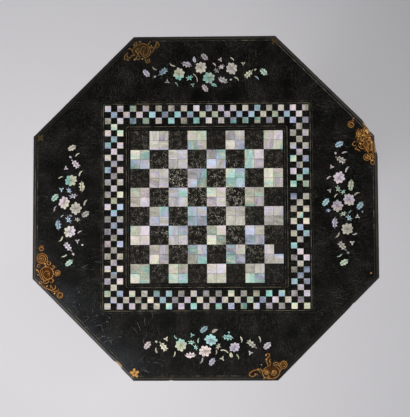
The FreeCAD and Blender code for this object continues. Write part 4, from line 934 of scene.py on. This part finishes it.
def gildCorners():
    for name, layer, finish in (("giltScrolls", "gold", giltScroll), ("scrollSize", "size", brownSize)):
        values = {"Height": scrolls[layer]["height"], "Material": finish}
        strokes = runTree(brushTree, strokeMesh(scrollStrokes(layer)), values)
        putPiece(name, layOnTop(strokes), "top")
    dots, grounds = [], []
    for name, (cx, cy) in scrolls["places"].items():
        for x, y, *outline in scrolls["grounds"][name]:
            grounds.append((lobedRing(cx + x, cy + y, *outline), scrolls["size"]["glow"][name]))
        for x, y, radius in scrolls[name]["dots"]:
            dots.append((lobedRing(cx + x, cy + y, radius, 2, 0.15, x, scrolls["dotSides"]), scrolls["gold"]["glow"][name]))
    x, y, reach, radius, petals = patchesOfGilt["star"]
    for k in range(petals):
        angle = math.tau * k / petals + 0.4
        petal = lobedRing(x + reach * math.cos(angle), y + reach * math.sin(angle), radius, 2, 0.25, angle, 16)
        dots.append((petal, scrolls["starGlow"]))
    dots.append((lobedRing(*patchesOfGilt["speck"]), scrolls["starGlow"] / 2))
    flatPatch("medallionGrounds", grounds, brownSize, 0.015)
    flatPatch("giltDots", dots, giltScroll)
    flatPatch("fadedOrnaments", [(lobedRing(*patchesOfGilt[name]), 0.5) for name in ("cross", "remnant")], fadedGilt)
    cx, cy = scrolls["places"]["upperRight"]
    corner = smoothPath(patchesOfGilt["wornCorner"] + [patchesOfGilt["wornCorner"][0]])[:-1]
    corner = [Vector(((cx + x) * mm, (cy + y) * mm)) for x, y in corner]
    ragged = [onFace(p.x + 0.9 * mm * noise.noise((p.x * 300, p.y * 300, 1)), p.y + 0.9 * mm * noise.noise((p.x * 300, p.y * 300, 7)))
              for p in corner]
    flatPatch("wornCornerGilt", [(ragged, scrolls["patchGlow"])], rubbedGilt, 0.012)


gildCorners()
print("corners gilded")


# Scratches of use: fine pale arcs, most of them by the lower left edge
scratches = {
    "height": 0.05, "seed": 31, "steps": 7, "bend": 0.035,
    "zones": [      # x, y and spread of the middles, heading and its spread in degrees, shortest, longest, count, width
        (-222, -168, 13, 0, 60, 4, 10, 18, 0.3), (-190, -200, 14, -45, 50, 4, 11, 34, 0.36),
        (-162, -230, 12, 10, 50, 4, 13, 20, 0.36), (-95, -193, 18, 85, 14, 14, 30, 10, 0.24),
        (-108, -256, 14, 5, 14, 14, 30, 8, 0.24), (-192, -95, 16, 2, 6, 12, 24, 14, 0.17), (0, 0, 190, 40, 80, 6, 20, 60, 0.17),
    ],
}


def scratchStrokes():
    chance = random.Random(scratches["seed"])
    for cx, cy, spread, heading, swing, shortest, longest, count, width in scratches["zones"]:
        for _ in range(count):
            x, y = chance.gauss(cx, spread), chance.gauss(cy, spread)
            angle = math.radians(chance.gauss(heading, swing))
            step = chance.uniform(shortest, longest) / scratches["steps"]
            bend = chance.uniform(-1, 1) * scratches["bend"] * step
            path = []
            for _ in range(scratches["steps"]):
                path.append((x, y))
                angle += bend
                x, y = x + step * math.cos(angle), y + step * math.sin(angle)
            if all(octagonReach(x * mm, y * mm) < faceHalf for x, y in path):
                yield path, width, 1


def scratchFace():
    mesh = runTree(brushTree, strokeMesh(scratchStrokes()), {"Height": scratches["height"], "Material": scratchLine})
    putPiece("handlingScratches", layOnTop(mesh), "top")


scratchFace()
print("face scratched")


# Edge: the rounded lipping as one lacquered band, dented along its length and chipped at one corner
chips = [   # corner or side it sits on (in eighths of a turn), distance along the edge, depth, half length, in mm
    (0.5, 0, 5.4, 34), (5, 82.7, 1.5, 10), (6, -58, 0.9, 5), (7, 58, 0.9, 4),
]


def edgeStations():                             # inner point, outward direction and mitre stretch, all round
    half, slope = faceHalf, math.tan(math.pi / 8)
    count = round(2 * half * slope / (rim["step"] * mm))
    for side in range(8):
        angle = math.pi / 4 * side
        out = Vector((math.cos(angle), math.sin(angle), 0))
        along = Vector((-out.y, out.x, 0))
        for k in range(count):
            share = 2 * k / count - 1
            corner = Matrix.Rotation(-math.pi / 8, 3, "Z") @ out if k == 0 else out
            yield out * half + along * (share * half * slope), corner, 1 / math.cos(math.pi / 8) if k == 0 else 1


def edgeSection():                              # distance out from the face and height, round the lipping's section
    bend, wide = rim["round"] * mm, rimHalf - faceHalf
    section = [(0, topLevel)]
    for centre, first in ((topLevel - bend, 90), (underLevel + bend, 0)):
        for k in range(rim["arcSteps"] + 1):
            angle = math.radians(first - 90 * k / rim["arcSteps"])
            section.append((wide - bend + bend * math.cos(angle), centre + bend * math.sin(angle)))
    return section + [(0, underLevel)]


def chipDepth(point):
    depth = 0
    for eighth, along, deep, reach in chips:
        angle = math.pi / 4 * eighth
        radius = rimHalf / math.cos(math.pi / 8) if eighth % 1 else rimHalf
        spot = Vector((radius * math.cos(angle), radius * math.sin(angle), 0))
        spot += along * mm * Vector((-math.sin(angle), math.cos(angle), 0))
        near = (Vector((point.x, point.y, 0)) - spot).length / (reach * mm)
        if near < 1:
            depth = max(depth, deep * (1 - near * near) * (1 + 0.3 * noise.noise(point * 220)))
    return min(depth, 5.6)


def makeEdge():
    shape = bmesh.new()
    inset = shape.verts.layers.float.new("inset")
    bare = shape.verts.layers.float.new("bare")
    section = edgeSection()
    wide = rimHalf - faceHalf
    rings = []
    for start, out, stretch in edgeStations():
        ring = []
        depth = chipDepth(start + out * wide * stretch)
        dent = rim["dent"] * max(0, noise.noise((start + out) * perMetre(rim["dentSize"]) * 0.9) - 0.15)
        for reach, z in section:
            cut = (depth + dent) * mm * (reach / wide) * (1 if z > topLevel - 12 * mm else 0.75)
            v = shape.verts.new(start + out * (reach - cut) * stretch + Vector((0, 0, z)))
            v[inset] = (wide - reach) / mm
            low = min(1, (z - underLevel) / (topLevel - underLevel) * 1.6)
            v[bare] = min(1, depth / 1.6) * low if reach > 0 else 0
            ring.append(v)
        rings.append(ring)
    for a, b in zip(rings, rings[1:] + rings[:1]):
        for k in range(len(section)):
            n = (k + 1) % len(section)
            shape.faces.new((a[k], a[n], b[n], b[k]))
    bmesh.ops.recalc_face_normals(shape, faces=shape.faces)
    putPiece("edgeBand", meshFrom(shape, "edgeBand", 40), "top", "lacquered_wood", ("edge_lipping",), [edgeBlack])


makeEdge()
print("edge made")


# Stand and fittings: CAD shapes with their arrises eased; the legs carry a gold line along each flank
stand = {
    "legEase": 2.4, "lineInset": 5.5, "lineWidth": 0.9, "smooth": 40,
    "nearest": 0.4, "cornerTurn": 25, "legStep": 3, "smoothings": 4, "tenonShare": 0.4,
    "eased": {"left_bearer": ("top", 1.2, "lacquered_wood"), "right_bearer": ("top", 1.2, "lacquered_wood"),
              "tilt_block": ("pedestal", 1.4, "lacquered_wood"), "slide_bolt": ("bolt", 0.4, "brass"),
              "keeper_plate": ("pedestal", 0.4, "brass"), "bolt_plate": ("top", 0.3, "brass"),
              "bolt_guides": ("top", 0.3, "brass"), "spider_plate": ("pedestal", 0.5, "iron")},
}


def easeArrises(shape, width, segments):
    wear = shape.verts.layers.float.new("wear")
    sharp = [e for e in shape.edges if len(e.link_faces) == 2 and e.calc_face_angle(0) > math.radians(35)]
    made = bmesh.ops.bevel(shape, geom=sharp, offset=width * mm, offset_type="OFFSET", segments=segments, profile=0.5,
                           affect="EDGES", clamp_overlap=True)
    eased = set(made["faces"])
    for v in made["verts"]:
        v[wear] = float(all(face in eased for face in v.link_faces))


def evenOutline(points):                        # evenly spaced along each curve, with the corners kept
    points = [p for p, q in zip(points, points[-1:] + points[:-1]) if (p - q).length > stand["nearest"] * mm]
    before, after = points[-1:] + points[:-1], points[1:] + points[:1]
    turns = [(p - b).angle(a - p) for b, p, a in zip(before, points, after)]
    corners = [k for k, turn in enumerate(turns) if turn > math.radians(stand["cornerTurn"])]
    outline = []
    for start, end in zip(corners, corners[1:] + [corners[0] + len(points)]):
        stretch = [points[k % len(points)] for k in range(start, end + 1)]
        lengths = [(b - a).length for a, b in zip(stretch, stretch[1:])]
        count = max(1, round(sum(lengths) / (stand["legStep"] * mm)))
        spaced = []
        for k in range(count + 1):
            left, piece = sum(lengths) * k / count, 0
            while piece < len(lengths) - 1 and left > lengths[piece]:
                left -= lengths[piece]
                piece += 1
            spaced.append(stretch[piece].lerp(stretch[piece + 1], left / lengths[piece]))
        for _ in range(stand["smoothings"]):
            spaced[1:-1] = [(a + 2 * b + c) / 4 for a, b, c in zip(spaced, spaced[1:], spaced[2:])]
        outline += spaced[:-1]
    return outline


def linedLeg(node):                             # the sawn leg with eased arrises, a gold line on each flank and its dovetail
    given = mergedCopy(node)
    flank = max(given.faces, key=lambda f: f.calc_area())
    across = flank.normal.copy()
    thick = max(v.co.dot(across) for v in given.verts) - min(v.co.dot(across) for v in given.verts)
    outward = Vector((flank.calc_center_median().x, flank.calc_center_median().y, 0))
    outward = (outward - across * outward.dot(across)).normalized()
    seat = min(v.co.dot(outward) for v in flank.verts)
    tenon = [v.co.copy() for v in given.verts if v.co.dot(outward) < seat + 0.1 * mm
             and abs(v.co.dot(across)) < thick * stand["tenonShare"]]
    leg = bmesh.new()
    side = leg.faces.new([leg.verts.new(p) for p in evenOutline([v.co.copy() for v in flank.verts])])
    far = bmesh.ops.extrude_face_region(leg, geom=[side])["geom"]
    for v in (g for g in far if isinstance(g, bmesh.types.BMVert)):
        v.co -= across * thick
    bmesh.ops.recalc_face_normals(leg, faces=leg.faces)
    flanks = sorted(leg.faces, key=lambda f: -f.calc_area())[:2]
    for width, index in ((stand["lineInset"], 0), (stand["lineWidth"], 1)):
        for face in bmesh.ops.inset_individual(leg, faces=flanks, thickness=width * mm)["faces"]:
            face.material_index = index
    easeArrises(leg, stand["legEase"], 3)
    made = bmesh.ops.convex_hull(leg, input=[leg.verts.new(p) for p in tenon])
    spare = {g for g in made["geom_interior"] + made["geom_unused"] if isinstance(g, bmesh.types.BMVert)}
    bmesh.ops.delete(leg, geom=list(spare), context="VERTS")
    given.free()
    return leg


def makeStand():
    finishes = {"lacquered_wood": standBlack, "brass": brass, "iron": iron}
    for node, (body, width, slotName) in stand["eased"].items():
        shape = mergedCopy(node)
        easeArrises(shape, width, 2)
        name = "".join(word if k == 0 else word.title() for k, word in enumerate(node.split("_"))) + "Eased"
        putPiece(name, meshFrom(shape, name, stand["smooth"]), body, slotName, (node,), [finishes[slotName]])
    for node in ("leg_rear", "leg_front_left", "leg_front_right"):
        name = node.replace("_", "") + "Lined"
        mesh = meshFrom(linedLeg(node), name, stand["smooth"])
        putPiece(name, mesh, "pedestal", "lacquered_wood", (node,), [standBlack, giltScroll])


makeStand()
print("stand eased")

# CAD nodes whose shape is right keep it and get their finish
finishes = {
    "lacquer_face": blackLacquer, "core_boards": boards, "core_dowels": boards, "tenon_wedge": boards,
    "column_shaft": standBlack, "column_capital": standBlack, "leg_hub": standBlack,
    "bolt_knob": brass, "bolt_screws": brass, "keeper_screws": brass, "pivot_pins": iron,
    "bearer_screws": steel, "bolt_leaf_spring": steel, "spider_screws": steel,
}
for name, finish in finishes.items():
    nodes[name].data.materials.clear()
    nodes[name].data.materials.append(finish)
print("finishes set:", len(finishes))

# Gold bands painted round the turnings, at shares of each one's turned height
bands = {
    "proud": 0.4, "width": 1.6, "sides": 24, "corner": 0.9,
    "shares": {"column_shaft": (0.018, 0.198, 0.232, 0.726), "leg_hub": (0.95,), "column_capital": (0.83,)},
}


def turnedSpan(node):                           # lowest and highest turned level; the column's tenons are left out
    low, high = [corner.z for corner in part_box(node)]
    return (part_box("leg_hub")[1].z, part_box("column_capital")[0].z) if node == "column_shaft" else (low, high)


def turningRadius(node, z):                     # met from the front, where no leg stands
    graph = bpy.context.evaluated_depsgraph_get()
    found, place, normal, face = nodes[node].ray_cast((0, -rimHalf, z), (0, 1, 0), depsgraph=graph)
    return -place.y


def bandTurnings():
    for node, shares in bands["shares"].items():
        low, high = turnedSpan(node)
        for k, share in enumerate(shares):
            z = low + (high - low) * share
            radius = turningRadius(node, z)
            name = node.split("_")[1] + "GiltBand%d" % k
            values = {"Half": radius / math.cos(math.pi / bands["sides"]), "Corner": radius * bands["corner"],
                      "Width": bands["proud"] * mm, "Thickness": bands["width"] * mm, "Shift": 0, "Level": z,
                      "Sides": bands["sides"], "Turn": math.pi / bands["sides"], "Material": giltScroll}
            putPiece(name, runTree(ringTree, bpy.data.meshes.new(name), values), "pedestal")
            print(name, "radius", round(radius / mm, 1), "mm")


bandTurnings()
print("turnings banded")


# Stage: pale paper sweep, soft studio light from the lower left, and the photograph's camera
stage = {
    "paper": "#cecccf", "paperInPaintedShade": "#a9a8ac", "brightSpot": (-0.3, -0.12, 0), "floorSize": 80, "worldSide": 0.78, "worldZenith": 0.0, "darkCeiling": (0.1, 0.28, 1),
    "lamps": {"key": ((-2.6, -2.2, 2.9), 2.4, 150), "fill": ((2.8, 1.6, 2.4), 2.6, 45)},
}
view = {"distance": 2000, "sideTilt": 1.35, "frontTilt": -4.4, "roll": -0.21, "aim": (-0.1, -3.4), "focalPixels": 1194,
        "imageHeight": 417, "sensor": 36}


def makeFloor():
    shape = bmesh.new()
    bmesh.ops.create_grid(shape, x_segments=1, y_segments=1, size=stage["floorSize"] / 2)
    floor = bpy.data.objects.new("paperSweep", meshFrom(shape, "paperSweep"))
    bpy.context.scene.collection.objects.link(floor)
    material, tree, shader, place = newMaterial("seamlessPaper", {"Roughness": 0.9})
    # the paper's colour is darker away from a bright spot by the lower left: a painted pool of light falling off into
    # painted shade
    away = addNode(tree, "ShaderNodeVectorMath", {"operation": "DISTANCE"}, {0: place, 1: stage["brightSpot"]})
    falloff = addNode(tree, "ShaderNodeMapRange", {}, {"Value": away.outputs["Value"], "From Min": 0.25, "From Max": 1.1})
    tone = layOver(tree, stage["paper"], stage["paperInPaintedShade"], falloff)
    tree.links.new(next(s for s in tone.outputs if s.enabled), shader.inputs["Base Color"])
    behind = addNode(tree, "ShaderNodeNewGeometry").outputs["Backfacing"]       # seen from below, the paper is clear
    clear = addNode(tree, "ShaderNodeBsdfTransparent")
    sided = addNode(tree, "ShaderNodeMixShader", {}, {0: behind, 1: shader, 2: clear})
    tree.links.new(sided.outputs[0], tree.get_output_node("ALL").inputs["Surface"])
    floor.data.materials.append(material)


def makeLight():
    world = bpy.data.worlds.new("studio")
    bpy.context.scene.world = world
    world.use_nodes = True
    tree = world.node_tree
    tree.nodes.clear()
    direction = addNode(tree, "ShaderNodeTexCoord").outputs["Generated"]
    ceiling = Vector(stage["darkCeiling"]).normalized()
    nearness = addNode(tree, "ShaderNodeVectorMath", {"operation": "DOT_PRODUCT"}, {0: direction, 1: ceiling})
    level = addNode(tree, "ShaderNodeMapRange", {"interpolation_type": "SMOOTHSTEP"},
                    {"Value": nearness.outputs["Value"], "From Min": 0.8, "From Max": 0.985,
                     "To Min": stage["worldSide"], "To Max": stage["worldZenith"]})
    glow = addNode(tree, "ShaderNodeBackground", {}, {"Strength": level})
    addNode(tree, "ShaderNodeOutputWorld", {}, {"Surface": glow})
    for name, (spot, size, power) in stage["lamps"].items():
        lamp = bpy.data.lights.new(name, "AREA")
        lamp.shape = "DISK"
        lamp.size = size
        lamp.energy = power
        holder = bpy.data.objects.new(name, lamp)
        holder.location = spot
        aim = Vector((0, 0, topLevel / 2)) - Vector(spot)
        holder.rotation_euler = aim.to_track_quat("-Z", "Y").to_euler()
        bpy.context.scene.collection.objects.link(holder)


def makeCamera():
    aim = Vector((view["aim"][0] * mm, view["aim"][1] * mm, topLevel))
    side, front = math.sin(math.radians(view["sideTilt"])), math.sin(math.radians(view["frontTilt"]))
    back = Vector((side, front, math.sqrt(1 - side * side - front * front)))
    right = (-back).cross(Vector((0, 1, 0))).normalized()
    up = right.cross(-back)
    roll = math.radians(view["roll"])
    across = right * math.cos(roll) + up * math.sin(roll)
    upward = up * math.cos(roll) - right * math.sin(roll)
    turn = Matrix((across, upward, back)).transposed()
    lens = bpy.data.cameras.new("camera")
    lens.sensor_width = view["sensor"]
    lens.lens = view["focalPixels"] / view["imageHeight"] * view["sensor"]
    holder = bpy.data.objects.new("camera", lens)
    holder.matrix_world = Matrix.Translation(aim + back * view["distance"] * mm) @ turn.to_4x4()
    bpy.context.scene.collection.objects.link(holder)
    bpy.context.scene.camera = holder


makeFloor()
makeLight()
makeCamera()
bpy.context.scene.view_settings.view_transform = "Standard"
print("stage set")
